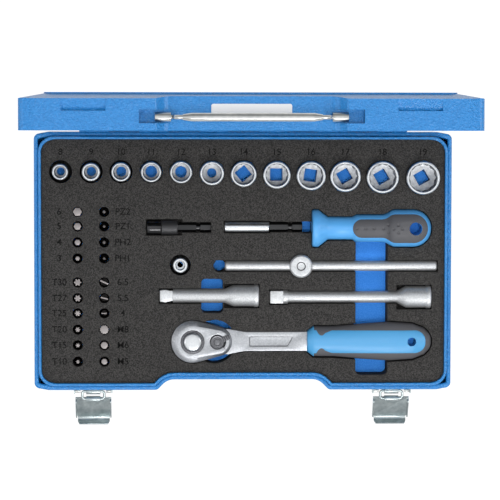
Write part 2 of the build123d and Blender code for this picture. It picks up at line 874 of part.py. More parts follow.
# Quick-change chuck: nose with a hex bore, core for the sleeve and grooved shank in one piece
chuck_sleeve_x = chuck_x + chuck_nose
chuck_shank_x = chuck_sleeve_x + chuck_sleeve
chuck_end = chuck_shank_x + shank_length
with BuildPart() as quick_chuck_body:
    with BuildSketch(along_x(chuck_x, chuck_y, lying_z)):
        Circle(chuck_diameter / 2)
    extrude(amount=chuck_nose)
    chamfer(quick_chuck_body.edges().group_by(Axis.X)[0], socket_chamfer)
    with BuildSketch(along_x(chuck_sleeve_x, chuck_y, lying_z)):
        Circle(chuck_core / 2)
    extrude(amount=chuck_sleeve)
    with BuildSketch(along_x(chuck_shank_x, chuck_y, lying_z)):
        RegularPolygon(shank_hex / 2, 6, major_radius=False)
    extrude(amount=shank_length)
    add(groove(chuck_end, chuck_y, lying_z), mode=Mode.SUBTRACT)
    with BuildSketch(along_x(chuck_x, chuck_y, lying_z)):
        RegularPolygon(hex_bore / 2, 6, major_radius=False)
    extrude(amount=bore_depth, mode=Mode.SUBTRACT)
keep(quick_chuck_body.part, "quick_chuck_body")

# Sleeve of the chuck, which is drawn back to free the bit
with BuildPart() as quick_chuck_sleeve:
    with BuildSketch(along_x(chuck_sleeve_x + sleeve_play, chuck_y, lying_z)):
        Circle(chuck_diameter / 2)
        Circle(chuck_core / 2 + sleeve_play, mode=Mode.SUBTRACT)
    extrude(amount=chuck_sleeve - sleeve_play)
    chamfer(quick_chuck_sleeve.edges().group_by(Axis.X)[-1].sort_by(SortBy.RADIUS)[-1], socket_chamfer)
keep(quick_chuck_sleeve.part, "quick_chuck_sleeve")

# Magnetic holder: tube with a hex bore, shank pressed into its back end and magnet between them
magnet_shank_x = magnet_x + magnet_sleeve_length
magnet_end = magnet_shank_x + shank_length
magnet_shank_from = magnet_x + bore_depth + magnet_thickness
with BuildPart() as magnet_holder_sleeve:
    with BuildSketch(along_x(magnet_x, magnet_y, lying_z)):
        Circle(magnet_sleeve_diameter / 2)
    extrude(amount=magnet_sleeve_length)
    chamfer(magnet_holder_sleeve.edges().group_by(Axis.X)[0], socket_chamfer)
    chamfer(magnet_holder_sleeve.edges().group_by(Axis.X)[-1], socket_chamfer)
    with BuildSketch(along_x(magnet_x, magnet_y, lying_z)):
        RegularPolygon(shank_hex / 2, 6, major_radius=False)
    extrude(amount=magnet_sleeve_length, mode=Mode.SUBTRACT)
keep(magnet_holder_sleeve.part, "magnet_holder_sleeve")
with BuildPart() as magnet_holder_shank:
    with BuildSketch(along_x(magnet_shank_from, magnet_y, lying_z)):
        RegularPolygon(shank_hex / 2, 6, major_radius=False)
    extrude(amount=magnet_end - magnet_shank_from)
    add(groove(magnet_end, magnet_y, lying_z), mode=Mode.SUBTRACT)
keep(magnet_holder_shank.part, "magnet_holder_shank")
with BuildPart() as magnet_holder_magnet:
    with BuildSketch(along_x(magnet_x + bore_depth, magnet_y, lying_z)):
        Circle(magnet_diameter / 2)
    extrude(amount=magnet_thickness)
keep(magnet_holder_magnet.part, "magnet_holder_magnet")


def driver_half(inset):
    # Half of the driver's outline above its axis, drawn in by an inset
    with BuildSketch(Plane((driver_x, driver_y, driver_z)), mode=Mode.PRIVATE) as half:
        with BuildLine():
            flange = driver_flange / 2 - inset
            neck = driver_neck / 2 - inset
            waist = driver_waist / 2 - inset
            belly = driver_belly / 2 - inset
            belly_to = driver_length - driver_belly / 2
            end = driver_length - inset
            Polyline((end, 0), (inset, 0), (inset, flange - driver_flange_round))
            rounded = (inset + driver_flange_round, flange)
            TangentArc((inset, flange - driver_flange_round), rounded, tangent=(0, 1))
            Polyline(
                rounded,
                (driver_flange_length, flange),
                (driver_neck_from, neck),
                (driver_neck_to, neck),
                (driver_waist_from, waist),
                (driver_waist_to, waist),
            )
            flare = ((driver_waist_to + driver_belly_from) / 2, (waist + belly) / 2)
            TangentArc((driver_waist_to, waist), flare, tangent=(1, 0))
            TangentArc((driver_belly_from, belly), flare, tangent=(-1, 0))
            Line((driver_belly_from, belly), (belly_to, belly))
            TangentArc((belly_to, belly), (end, 0), tangent=(1, 0))
        make_face()
    return half.sketch


def driver_turned(inset):
    # The driver as a turned solid, drawn in by an inset
    with BuildPart(mode=Mode.PRIVATE) as turned:
        add(driver_half(inset))
        revolve(axis=Axis((driver_x, driver_y, driver_z), (1, 0, 0)))
    return turned.part


# Soft pads let into the top and the underside of the driver handle
pad_middle = (driver_pad_from + driver_pad_to) / 2
driver_outside = driver_turned(0)
driver_core = driver_turned(driver_pad_thickness)
with BuildPart() as driver_grip_pads:
    with BuildSketch(Plane((driver_x, driver_y, driver_z))) as pad_plan:
        add(driver_half(driver_pad_edge).moved(Location((-driver_x, -driver_y, -driver_z))))
        mirror(about=Plane.XZ)
        with Locations((pad_middle, 0)):
            Rectangle(driver_pad_to - driver_pad_from, driver_belly, mode=Mode.INTERSECT)
        fillet(pad_plan.vertices().group_by(Axis.X)[0], driver_pad_round)
        with Locations((driver_hole_at, 0)):
            Circle(driver_hole / 2 + driver_hole_rim, mode=Mode.SUBTRACT)
    extrude(amount=driver_belly, both=True)
    add(driver_outside, mode=Mode.INTERSECT)
    add(driver_core, mode=Mode.SUBTRACT)
keep(driver_grip_pads.part, "driver_grip_pads")

# Driver handle, moulded with a hex bore in its flange and a hole for hanging it up
with BuildPart() as driver_handle:
    add(driver_outside)
    add(driver_grip_pads.part, mode=Mode.SUBTRACT)
    with BuildSketch(Plane((driver_x + driver_hole_at, driver_y, driver_z))):
        Circle(driver_hole / 2)
    extrude(amount=driver_belly, both=True, mode=Mode.SUBTRACT)
    with BuildSketch(along_x(driver_x, driver_y, driver_z)):
        RegularPolygon(hex_bore / 2, 6, major_radius=False)
    extrude(amount=bore_depth, mode=Mode.SUBTRACT)
keep(driver_handle.part, "driver_handle")


def ball(x, y, z):
    # Sprung ball that holds a socket on a drive square
    with BuildPart() as piece:
        with Locations((x, y, z)):
            Sphere(ball_diameter / 2)
    return piece.part


def ball_seat(x, y, z):
    # Pocket for that ball, to be cut out of the square
    with BuildPart(mode=Mode.PRIVATE) as seat_part:
        with Locations((x, y, z)):
            Sphere(ball_diameter / 2 + sleeve_play)
    return seat_part.part


ball_inset = drive_square / 2 + ball_proud - ball_diameter / 2

# Sliding T-handle: head with a cross bore and a drive square below it
head_low = tbar_z - head_drop
tbar_ball_place = (head_x, tbar_y - ball_inset, head_low - square_length + ball_from_end)
with BuildPart() as tbar_head:
    with BuildSketch(Plane((head_x, tbar_y, head_low))):
        Circle(head_diameter / 2)
    extrude(amount=head_drop + head_rise)
    chamfer(tbar_head.faces().sort_by(Axis.Z)[-1].edges(), head_chamfer)
    chamfer(tbar_head.faces().sort_by(Axis.Z)[0].edges(), head_chamfer)
    with BuildSketch(Plane((head_x, tbar_y, head_low))):
        Rectangle(drive_square, drive_square)
    extrude(amount=-square_length)
    chamfer(tbar_head.faces().sort_by(Axis.Z)[0].edges(), socket_chamfer)
    with BuildSketch(Plane((head_x, tbar_y, tbar_z + head_rise))):
        Circle(head_disc / 2)
    extrude(amount=-seat, mode=Mode.SUBTRACT)
    with BuildSketch(along_x(head_x, tbar_y, tbar_z)):
        Circle(rod_diameter / 2 + rod_play)
    extrude(amount=head_diameter, both=True, mode=Mode.SUBTRACT)
    add(ball_seat(*tbar_ball_place), mode=Mode.SUBTRACT)
keep(tbar_head.part, "tbar_head")
keep(ball(*tbar_ball_place), "tbar_ball")
with BuildPart() as tbar_rod:
    with BuildSketch(along_x(rod_from, tbar_y, tbar_z)):
        Circle(rod_diameter / 2)
    extrude(amount=rod_length)
    chamfer(tbar_rod.edges().group_by(Axis.X)[0], head_chamfer)
    chamfer(tbar_rod.edges().group_by(Axis.X)[-1], head_chamfer)
keep(tbar_rod.part, "tbar_rod")


def extension(x, y, length, shaft, female, collar, square_widths):
    # Extension bar: drive square, collar, shaft, cone and female end with a raised ring
    # The square is straight, or swells and narrows so that the bar can lean in the tool that drives it
    female_x = x + length - female_length
    ring_x = x + length - end_ring_length
    collar_x = x + square_length
    shaft_x = collar_x + bar_collar_length
    with BuildPart() as bar:
        for at, width in square_widths:
            with BuildSketch(along_x(x + at, y, bar_z)):
                Rectangle(width, width)
        loft(ruled=True)
        chamfer(bar.faces().sort_by(Axis.X)[0].edges(), socket_chamfer)
        with BuildSketch(along_x(collar_x, y, bar_z)):
            Circle(collar / 2)
        extrude(amount=bar_collar_length)
        with BuildSketch(along_x(shaft_x, y, bar_z)):
            Circle(shaft / 2)
        extrude(amount=female_x - bar_cone - shaft_x)
        with BuildSketch(along_x(female_x - bar_cone, y, bar_z)):
            Circle(shaft / 2)
        with BuildSketch(along_x(female_x, y, bar_z)):
            Circle(female / 2)
        loft()
        with BuildSketch(along_x(female_x, y, bar_z)):
            Circle(female / 2)
        extrude(amount=female_length - end_ring_length)
        with BuildSketch(along_x(ring_x, y, bar_z)):
            Circle(female / 2 + end_ring)
        extrude(amount=end_ring_length)
        chamfer(bar.faces().sort_by(Axis.X)[-1].edges(), socket_chamfer)
        with BuildSketch(along_x(x + length, y, bar_z)):
            Rectangle(drive_square + square_play, drive_square + square_play)
        extrude(amount=-square_depth, mode=Mode.SUBTRACT)
        add(ball_seat(x + ball_from_end, y - ball_inset, bar_z), mode=Mode.SUBTRACT)
    return bar.part


straight_square = [(0, drive_square), (square_length, drive_square)]
wobble_square = [
    (0, wobble_end),
    (wobble_bulge_at, drive_square),
    (wobble_neck_at, wobble_neck),
    (square_length, wobble_neck),
]
short_bar = extension(short_x, short_y, short_length, short_shaft, short_female, short_shaft, wobble_square)
keep(short_bar, "extension_75")
keep(ball(short_x + ball_from_end, short_y - ball_inset, bar_z), "extension_75_ball")
long_bar = extension(long_x, long_y, long_length, long_shaft, long_female, bar_collar, straight_square)
keep(long_bar, "extension_125")
keep(ball(long_x + ball_from_end, long_y - ball_inset, bar_z), "extension_125_ball")

# Ratchet: levels of its pieces
shank_z = ratchet_z + shank_rise
grip_z = ratchet_z + grip_height_axis
gear_low = ratchet_z + head_floor + gear_clear
gear_high = ratchet_top - gear_clear
cover_top = ratchet_top + cover_thickness
pawl_y = ratchet_y


def head_outline(inset, neck_inset):
    # Outline of the ratchet head: a wide circle, a narrow one round the lever, and their tangents
    with BuildSketch(mode=Mode.PRIVATE) as outline:
        with Locations((ratchet_x, ratchet_y)):
            Circle(ratchet_head_radius - inset)
        with Locations((lever_x, ratchet_y)):
            Circle(ratchet_neck_radius - neck_inset)
        make_hull()
    return outline.sketch


def shank_outline(margin):
    # Outline of the shank, which flares where it joins the head, with a margin round it
    half = shank_width / 2 + margin
    root = shank_root_width / 2 + margin
    side = [
        (lever_x, root),
        (shank_root_x, root),
        (shank_straight_x, half),
        (ratchet_grip_from, half),
    ]
    with BuildSketch(mode=Mode.PRIVATE) as outline:
        with BuildLine():
            Polyline(
                *[(x, ratchet_y + y) for x, y in side],
                *[(x, ratchet_y - y) for x, y in reversed(side)],
                close=True,
            )
        make_face()
        bends = [v for v in outline.vertices() if abs(v.X - shank_straight_x) < pin_play]
        fillet(bends, shank_root_bend)
    return outline.sketch


def mechanism_room(gear_room, pawl_circle):
    # Plan of the space that the gear and the pawl turn in
    with BuildSketch(mode=Mode.PRIVATE) as room:
        with Locations((ratchet_x, ratchet_y)):
            Circle(gear_room)
        with Locations((lever_x, pawl_y)):
            Circle(pawl_circle)
        with Locations(((ratchet_x + lever_x) / 2, pawl_y)):
            Rectangle(lever_x - ratchet_x, pawl_slot)
    return room.sketch


# Body of the ratchet: beveled head with the mechanism's room, shank with a sunk panel, tang
with BuildPart() as ratchet_body:
    with BuildSketch(Plane.XY.offset(ratchet_z)):
        add(head_outline(0, 0))
    extrude(amount=ratchet_head_height - ratchet_bevel_drop)
    with BuildSketch(Plane.XY.offset(ratchet_top - ratchet_bevel_drop)):
        add(head_outline(0, 0))
    with BuildSketch(Plane.XY.offset(ratchet_top)):
        add(head_outline(ratchet_bevel, ratchet_neck_bevel))
    loft(ruled=True)
    chamfer(ratchet_body.faces().sort_by(Axis.Z)[0].edges(), head_chamfer)
    with BuildSketch(Plane.XY.offset(shank_z)):
        add(shank_outline(0))
    extrude(amount=shank_height)
    with Locations((ratchet_grip_from + tang_length / 2, ratchet_y, grip_z)):
        Box(tang_length, tang_width, tang_height)
    with BuildSketch(Plane((0, ratchet_y, shank_z + shank_height))) as panel_plan:
        with BuildLine():
            panel_half = shank_panel_width / 2
            Polyline(
                (shank_panel_from, -panel_half),
                (shank_panel_to - shank_panel_slant, -panel_half),
                (shank_panel_to, panel_half),
                (shank_panel_from, panel_half),
                close=True,
            )
        make_face()
        fillet(panel_plan.vertices(), shank_panel_round)
    extrude(amount=-shank_panel_depth, mode=Mode.SUBTRACT)
    with BuildSketch(Plane.XY.offset(ratchet_z + head_floor)):
        add(mechanism_room(gear_radius + gear_clear, pawl_room))
    extrude(amount=ratchet_head_height, mode=Mode.SUBTRACT)
    with BuildSketch(Plane.XY.offset(ratchet_z)):
        with Locations((ratchet_x, ratchet_y)):
            Circle(drive_neck_radius + pin_play)
    extrude(amount=head_floor, mode=Mode.SUBTRACT)
keep(ratchet_body.part, "ratchet_body")

# Cover plate with the hole for the hub and the notch that the reversing lever swings in
notch_end = ratchet_neck_radius
notch_side = notch_end * tan(radians(lever_notch_angle))
with BuildPart() as ratchet_cover:
    with BuildSketch(Plane.XY.offset(ratchet_top)):
        add(head_outline(ratchet_bevel, ratchet_neck_bevel))
        with Locations((ratchet_x, ratchet_y)):
            Circle(hub_radius + hub_play, mode=Mode.SUBTRACT)
    extrude(amount=cover_thickness)
    with BuildSketch(Plane((lever_x, pawl_y, ratchet_top))):
        Circle(lever_disc + lever_notch_play)
        with BuildLine():
            Polyline((0, 0), (notch_end, -notch_side), (notch_end, notch_side), close=True)
        make_face()
    extrude(amount=cover_thickness, mode=Mode.SUBTRACT)
keep(ratchet_cover.part, "ratchet_cover")

# Drive: toothed wheel, hub, neck and drive square in one piece, bored for the release button
square_low = ratchet_z - square_length
button_floor = cover_top - button_thickness + button_rise - button_travel - gear_clear
ratchet_ball_place = (ratchet_x, ratchet_y - ball_inset, square_low + ball_from_end)
with BuildPart() as ratchet_drive:
    with BuildSketch(Plane.XY.offset(gear_low)):
        with Locations((ratchet_x, ratchet_y)):
            Circle(gear_radius)
            with PolarLocations(gear_radius, gear_teeth):
                RegularPolygon(tooth_depth, 3, rotation=180, mode=Mode.SUBTRACT)
    extrude(amount=gear_high - gear_low)
    with BuildSketch(Plane.XY.offset(ratchet_z)):
        with Locations((ratchet_x, ratchet_y)):
            Circle(drive_neck_radius)
    extrude(amount=head_floor + gear_clear)
    with BuildSketch(Plane.XY.offset(gear_high)):
        with Locations((ratchet_x, ratchet_y)):
            Circle(hub_radius)
    extrude(amount=cover_top - gear_high)
    with BuildSketch(Plane.XY.offset(ratchet_z)):
        with Locations((ratchet_x, ratchet_y)):
            Rectangle(drive_square, drive_square)
    extrude(amount=-square_length)
    chamfer(ratchet_drive.faces().sort_by(Axis.Z)[0].edges(), socket_chamfer)
    with BuildSketch(Plane.XY.offset(button_floor)):
        with Locations((ratchet_x, ratchet_y)):
            Circle(button_diameter / 2 + hub_play)
    extrude(amount=cover_top, mode=Mode.SUBTRACT)
    with BuildSketch(Plane.XY.offset(square_low + stem_floor)):
        with Locations((ratchet_x, ratchet_y)):
            Circle(stem_radius + pin_play)
    extrude(amount=cover_top, mode=Mode.SUBTRACT)
    add(ball_seat(*ratchet_ball_place), mode=Mode.SUBTRACT)
keep(ratchet_drive.part, "ratchet_drive")
keep(ball(*ratchet_ball_place), "ratchet_ball")

# Release button with its stem
button_top = cover_top + button_rise
with BuildPart() as ratchet_button:
    with BuildSketch(Plane.XY.offset(button_top)):
        with Locations((ratchet_x, ratchet_y)):
            Circle(button_diameter / 2)
    extrude(amount=-button_thickness)
    chamfer(ratchet_button.faces().sort_by(Axis.Z)[-1].edges(), head_chamfer / 2)
    with BuildSketch(Plane.XY.offset(button_top - button_thickness)):
        with Locations((ratchet_x, ratchet_y)):
            Circle(stem_radius)
    stem_low = square_low + stem_floor + button_travel + stem_clear
    extrude(amount=stem_low - button_top + button_thickness)
keep(ratchet_button.part, "ratchet_button")

# Reversing lever in the notch of the cover, on the pin that goes through the pawl to the floor of the head
lever_low = ratchet_top + pin_play
lever_plane = Plane((lever_x, pawl_y, lever_low)).rotated((0, 0, lever_turn))
with BuildPart() as ratchet_lever:
    with BuildSketch(lever_plane):
        Circle(lever_disc)
    extrude(amount=lever_height)
    chamfer(ratchet_lever.faces().sort_by(Axis.Z)[-1].edges(), lever_height / 4)
    with BuildSketch(lever_plane):
        with Locations((lever_tip / 2, 0)):
            Rectangle(lever_tip, 2 * lever_tip_radius)
        with Locations((lever_tip, 0)):
            Circle(lever_tip_radius)
        Circle(lever_disc, mode=Mode.SUBTRACT)
    extrude(amount=lever_height)
    with BuildSketch(lever_plane):
        Circle(stem_radius)
    extrude(amount=ratchet_z + head_floor + pin_play - lever_low)
keep(ratchet_lever.part, "ratchet_lever")

# Pawl: a two-nosed rocker on the lever's pin, facing the teeth and tipped as the lever tips it
pawl_plane = Plane((lever_x, pawl_y, gear_low)).rotated((0, 0, lever_turn * pawl_ratio))
with BuildPart() as ratchet_pawl:
    with BuildSketch(pawl_plane):
        Circle(pawl_hub)
        with Locations((-pawl_reach, pawl_spread), (-pawl_reach, -pawl_spread)):
            Circle(pawl_nose)
        make_hull()
        with Locations((ratchet_x - lever_x, 0)):
            Circle(gear_radius + pawl_nose, mode=Mode.SUBTRACT)
        Circle(stem_radius + pin_play, mode=Mode.SUBTRACT)
    extrude(amount=gear_high - gear_low)
keep(ratchet_pawl.part, "ratchet_pawl")

# Grip blank: half width and half height at stations along its length
grip_stations = [
    (0.0, 8.2, 6.4),
    (4.6, 11.8, 8.0),
    (21.0, 11.9, 8.4),
    (42.0, 13.7, 9.3),
    (64.0, 15.2, 10.0),
    (82.0, 14.0, 9.2),
    (91.0, 10.4, 7.2),
    (95.2, 6.2, 4.6),
    (ratchet_grip_length, 2.4, 1.8),
]
with BuildPart() as grip_blank:
    for station, half_width, half_height in grip_stations:
        with BuildSketch(along_x(ratchet_grip_from + station, ratchet_y, grip_z)):
            Ellipse(half_width, half_height)
    loft(ruled=True)
grip_half_width = max(half_width for station, half_width, half_height in grip_stations)
grip_half_height = max(half_height for station, half_width, half_height in grip_stations)
inlay_z = ratchet_z + inlay_level

# Hard core of the grip: a collar round the tang and, on top, a panel that joins it through a narrow neck
with BuildPart() as ratchet_inlay:
    with BuildSketch(Plane((ratchet_grip_from, ratchet_y, inlay_z))) as inlay_plan:
        with BuildLine():
            inlay_end = ratchet_grip_length - inlay_end_margin
            edge = [
                (0, grip_half_width),
                (inlay_collar, grip_half_width),
                (inlay_neck_at, inlay_neck / 2),
                (inlay_panel_at, inlay_width / 2),
                (inlay_end, inlay_width / 2),
            ]
            Polyline(*edge, *[(x, -y) for x, y in reversed(edge)], close=True)
        make_face()
        for at, bend in (
            (inlay_neck_at, inlay_neck_bend),
            (inlay_panel_at, inlay_panel_bend),
            (inlay_end, inlay_end_round),
        ):
            fillet([v for v in inlay_plan.vertices() if abs(v.X - at) < pin_play], bend)
    extrude(amount=grip_half_height)
    with Locations((ratchet_grip_from + inlay_collar / 2, ratchet_y, grip_z)):
        Box(inlay_collar, 2 * grip_half_width, 2 * grip_half_height)
    add(grip_blank.part, mode=Mode.INTERSECT)
    with Locations((ratchet_grip_from + tang_length / 2, ratchet_y, grip_z)):
        Box(tang_length, tang_width, tang_height, mode=Mode.SUBTRACT)
    with BuildSketch(Plane((ratchet_grip_from + grip_hole_at, ratchet_y, grip_z))):
        Circle(grip_hole / 2)
    extrude(amount=grip_half_height, mode=Mode.SUBTRACT)
keep(ratchet_inlay.part, "ratchet_inlay")

# Soft grip moulded round the core and the tang
with BuildPart() as ratchet_grip:
    add(grip_blank.part)
    add(ratchet_inlay.part, mode=Mode.SUBTRACT)
    with BuildSketch(Plane((ratchet_grip_from + grip_hole_at, ratchet_y, grip_z))):
        Circle(grip_hole / 2)
    extrude(amount=grip_half_height, both=True, mode=Mode.SUBTRACT)
    with Locations((ratchet_grip_from + tang_length / 2, ratchet_y, grip_z)):
        Box(tang_length, tang_width, tang_height, mode=Mode.SUBTRACT)
keep(ratchet_grip.part, "ratchet_grip")

# Blue layer of foam under everything, with blind holes for the bits and the drive squares
bit_places = [(bit_left_x, y) for y in upper_rows + lower_rows]
bit_places += [(bit_right_x, y) for y in upper_rows + lower_rows]
with BuildPart() as foam_bottom:
    with BuildSketch(Plane.XY.offset(sheet)):
        add(case_outline(foam_inset, foam_corner))
    extrude(amount=foam_floor - sheet)
    with BuildSketch(Plane.XY.offset(foam_floor)):
        with Locations(*bit_places):
            Circle(bit_hole / 2)
    extrude(amount=bit_foot - foam_floor, mode=Mode.SUBTRACT)
    square_hole = drive_square / sqrt(2) + ball_room
    with BuildSketch(Plane.XY.offset(foam_floor)):
        with Locations((head_x, tbar_y)):
            Circle(square_hole)
    extrude(amount=head_low - square_length - seat - foam_floor, mode=Mode.SUBTRACT)
keep(foam_bottom.part, "foam_bottom")


def lying_pocket(y, z, segments):
    # Pocket for a tool along X, from its segments (from, to, radius), each with its own floor
    with BuildPart(mode=Mode.PRIVATE) as pocket:
        for start, end, radius in segments:
            half = radius + pocket_clear
            with BuildSketch(Plane.XY.offset(z - radius - seat)):
                with Locations(((start + end) / 2, y)):
                    Rectangle(end - start + 2 * pocket_clear, 2 * half)
            extrude(amount=top_foam)
    return pocket.part


# Dark layer of foam with a pocket for every tool
with BuildPart() as cut_foam:
    with BuildSketch(Plane.XY.offset(foam_floor)):
        add(case_outline(foam_inset, foam_corner))
    extrude(amount=top_foam)
    with BuildSketch(Plane.XY.offset(foam_floor)):
        for outside, x, turn, hole in sockets.values():
            with Locations((x, socket_y(outside))):
                Circle(drive_end(outside) / 2 + pocket_clear)
        with Locations((adapter_x, adapter_y)):
            Circle(adapter_foot / 2 + pocket_clear)
        with Locations(*bit_places):
            Circle(bit_hole / 2)
        for x, y, width, depth, corner in finger_slots:
            with Locations((x, y)):
                RectangleRounded(width, depth, corner)
        with Locations((finger_hole_x, ratchet_y)):
            Circle(finger_hole_radius)
        with Locations((head_x, tbar_y)):
            Circle(square_hole)
        with Locations((ratchet_x, ratchet_y)):
            Circle(drive_neck_radius + ball_room)
        with Locations((rod_from - rod_travel + rod_hole_radius / 2, tbar_y)):
            Circle(rod_hole_radius)
    extrude(amount=top_foam, mode=Mode.SUBTRACT)
    chuck_radius = chuck_diameter / 2
    shank_radius = shank_hex / 2 + groove_depth
    add(
        lying_pocket(
            chuck_y,
            lying_z,
            [
                (chuck_x, chuck_shank_x + sleeve_travel, chuck_radius),
                (chuck_shank_x, chuck_end, shank_radius),
            ],
        ),
        mode=Mode.SUBTRACT,
    )
    magnet_radius = magnet_sleeve_diameter / 2
    add(
        lying_pocket(
            magnet_y,
            lying_z,
            [(magnet_x, magnet_shank_x, magnet_radius), (magnet_shank_x, magnet_end, shank_radius)],
        ),
        mode=Mode.SUBTRACT,
    )
    rod_radius = rod_diameter / 2
    add(
        lying_pocket(tbar_y, tbar_z, [(rod_from - rod_travel, rod_from + rod_length, rod_radius)]),
        mode=Mode.SUBTRACT,
    )
    with BuildSketch(Plane.XY.offset(head_low - seat)):
        with Locations((head_x, tbar_y)):
            Circle(head_diameter / 2 + pocket_clear)
    extrude(amount=top_foam, mode=Mode.SUBTRACT)
    for x, y, length, shaft, female in (
        (short_x, short_y, short_length, short_shaft, short_female),
        (long_x, long_y, long_length, long_shaft, long_female),
    ):
        shaft_from = x + square_length + bar_collar_length
        female_from = x + length - female_length - bar_cone
        wide = female / 2 + end_ring
        segments = [
            (x, shaft_from, bar_collar / 2),
            (shaft_from, female_from, shaft / 2),
            (female_from, x + length, wide),
        ]
        add(lying_pocket(y, bar_z, segments), mode=Mode.SUBTRACT)
    with BuildSketch(Plane((driver_x, driver_y, driver_z - driver_belly / 2 - seat))):
        add(driver_half(-pocket_clear).moved(Location((-driver_x, -driver_y, -driver_z))))
        mirror(about=Plane.XZ)
    extrude(amount=top_foam, mode=Mode.SUBTRACT)
    with BuildSketch(Plane.XY.offset(ratchet_z - seat)):
        add(head_outline(-pocket_clear, -pocket_clear))
        add(shank_outline(pocket_clear))
    extrude(amount=top_foam, mode=Mode.SUBTRACT)
    with BuildSketch(Plane((ratchet_grip_from, ratchet_y, grip_z - grip_half_height - seat))):
        with BuildLine():
            side = [(station, half_width + 2 * pocket_clear) for station, half_width, _ in grip_stations]
            side.insert(0, (-pocket_clear, side[0][1]))
            side.append((ratchet_grip_length + pocket_clear, side[-1][1]))
            Polyline(*side, *[(x, -y) for x, y in reversed(side)], close=True)
        make_face()
    extrude(amount=top_foam, mode=Mode.SUBTRACT)

# The dark layer is glued up from blocks, whose seams run between the tools
left, right = -case_width / 2, case_width / 2
front, back = -case_depth / 2, case_depth / 2
bit_columns = (bit_left_x + bit_right_x) / 2
bit_rows = (upper_rows[-1] + lower_rows[0]) / 2
foam_blocks = []
for x_from, x_to, y_from, y_to in (
    (left, seam_socket_row, seam_sockets, back),
    (seam_socket_row, right, seam_sockets, back),
    (left, bit_columns, bit_rows, seam_sockets),
    (bit_columns, seam_bits, bit_rows, seam_sockets),
    (left, bit_columns, front, bit_rows),
    (bit_columns, seam_bits, front, bit_rows),
    (seam_bits, seam_driver, seam_rod_back, seam_sockets),
    (seam_driver, right, seam_rod_back, seam_sockets),
    (seam_bits, right, seam_rod_front, seam_rod_back),
    (seam_bits, right, seam_ratchet, seam_rod_front),
    (seam_bits, right, front, seam_ratchet),
):
    with BuildPart() as foam_block:
        with BuildSketch(Plane(((x_from + x_to) / 2, (y_from + y_to) / 2, foam_floor))):
            Rectangle(x_to - x_from, y_to - y_from)
        extrude(amount=top_foam)
        add(cut_foam.part, mode=Mode.INTERSECT)
    foam_blocks.extend(foam_block.solids())
keep(Compound(foam_blocks), "foam_top")
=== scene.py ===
import json
import math

import bpy
from mathutils import Matrix, Vector

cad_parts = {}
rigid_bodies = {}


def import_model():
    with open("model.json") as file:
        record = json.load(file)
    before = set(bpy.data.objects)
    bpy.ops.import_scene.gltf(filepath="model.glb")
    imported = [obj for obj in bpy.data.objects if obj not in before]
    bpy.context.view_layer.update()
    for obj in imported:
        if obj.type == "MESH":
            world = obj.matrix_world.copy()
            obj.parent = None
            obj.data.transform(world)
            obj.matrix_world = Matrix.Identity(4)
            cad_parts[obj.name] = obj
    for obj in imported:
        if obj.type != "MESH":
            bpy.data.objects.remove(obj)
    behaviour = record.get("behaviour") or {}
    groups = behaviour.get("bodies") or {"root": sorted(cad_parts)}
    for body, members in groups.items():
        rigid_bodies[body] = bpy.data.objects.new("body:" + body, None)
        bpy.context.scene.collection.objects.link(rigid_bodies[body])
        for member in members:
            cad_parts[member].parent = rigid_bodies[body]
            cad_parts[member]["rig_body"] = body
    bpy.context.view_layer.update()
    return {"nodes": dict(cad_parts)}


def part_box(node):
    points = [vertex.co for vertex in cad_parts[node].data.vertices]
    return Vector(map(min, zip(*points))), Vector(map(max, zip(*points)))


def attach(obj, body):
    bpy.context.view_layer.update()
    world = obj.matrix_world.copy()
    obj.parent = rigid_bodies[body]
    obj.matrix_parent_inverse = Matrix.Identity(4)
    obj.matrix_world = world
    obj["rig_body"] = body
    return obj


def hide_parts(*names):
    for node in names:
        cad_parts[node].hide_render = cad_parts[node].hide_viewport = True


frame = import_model()
nodes = frame["nodes"]
bpy.ops.object.select_all(action="DESELECT")


# Case shells, guide lip and hinge leaves: drawn and pressed sheet steel, welded or riveted together.
# They are stoved in one coat of blue hammer enamel, which dries to small shallow dimples and a soft gloss.
MM = 0.001
ENAMEL_DEEP = (0.011, 0.150, 0.405)
ENAMEL_BLUE = (0.015, 0.172, 0.450)
ENAMEL_LIGHT = (0.022, 0.196, 0.495)
HAMMER_SCALE = 760
HAMMER_DEPTH = 0.7 * MM
BLOTCH_SCALE = 620
SEAM_REACH = 0.01 * MM
CORNER_REACH = 0.05 * MM
BEVEL_REACH = 0.002 * MM
FLAT_ANGLE = 1.0
BROKEN_EDGE = 0.15 * MM
SHARP_ANGLE = 40.0
SHELL_EDGE = 0.45 * MM
SHELL_ANGLE = 30.0


def new_finish(name, colour, metallic=0.0, roughness=0.5):
    """A material with its shader set; returns the material, its node tree and the shader."""
    made = bpy.data.materials.new(name)
    made.use_nodes = True
    shader = made.node_tree.nodes["Principled BSDF"]
    shader.inputs["Base Color"].default_value = (*colour, 1)
    shader.inputs["Metallic"].default_value = metallic
    shader.inputs["Roughness"].default_value = roughness
    return made, made.node_tree, shader


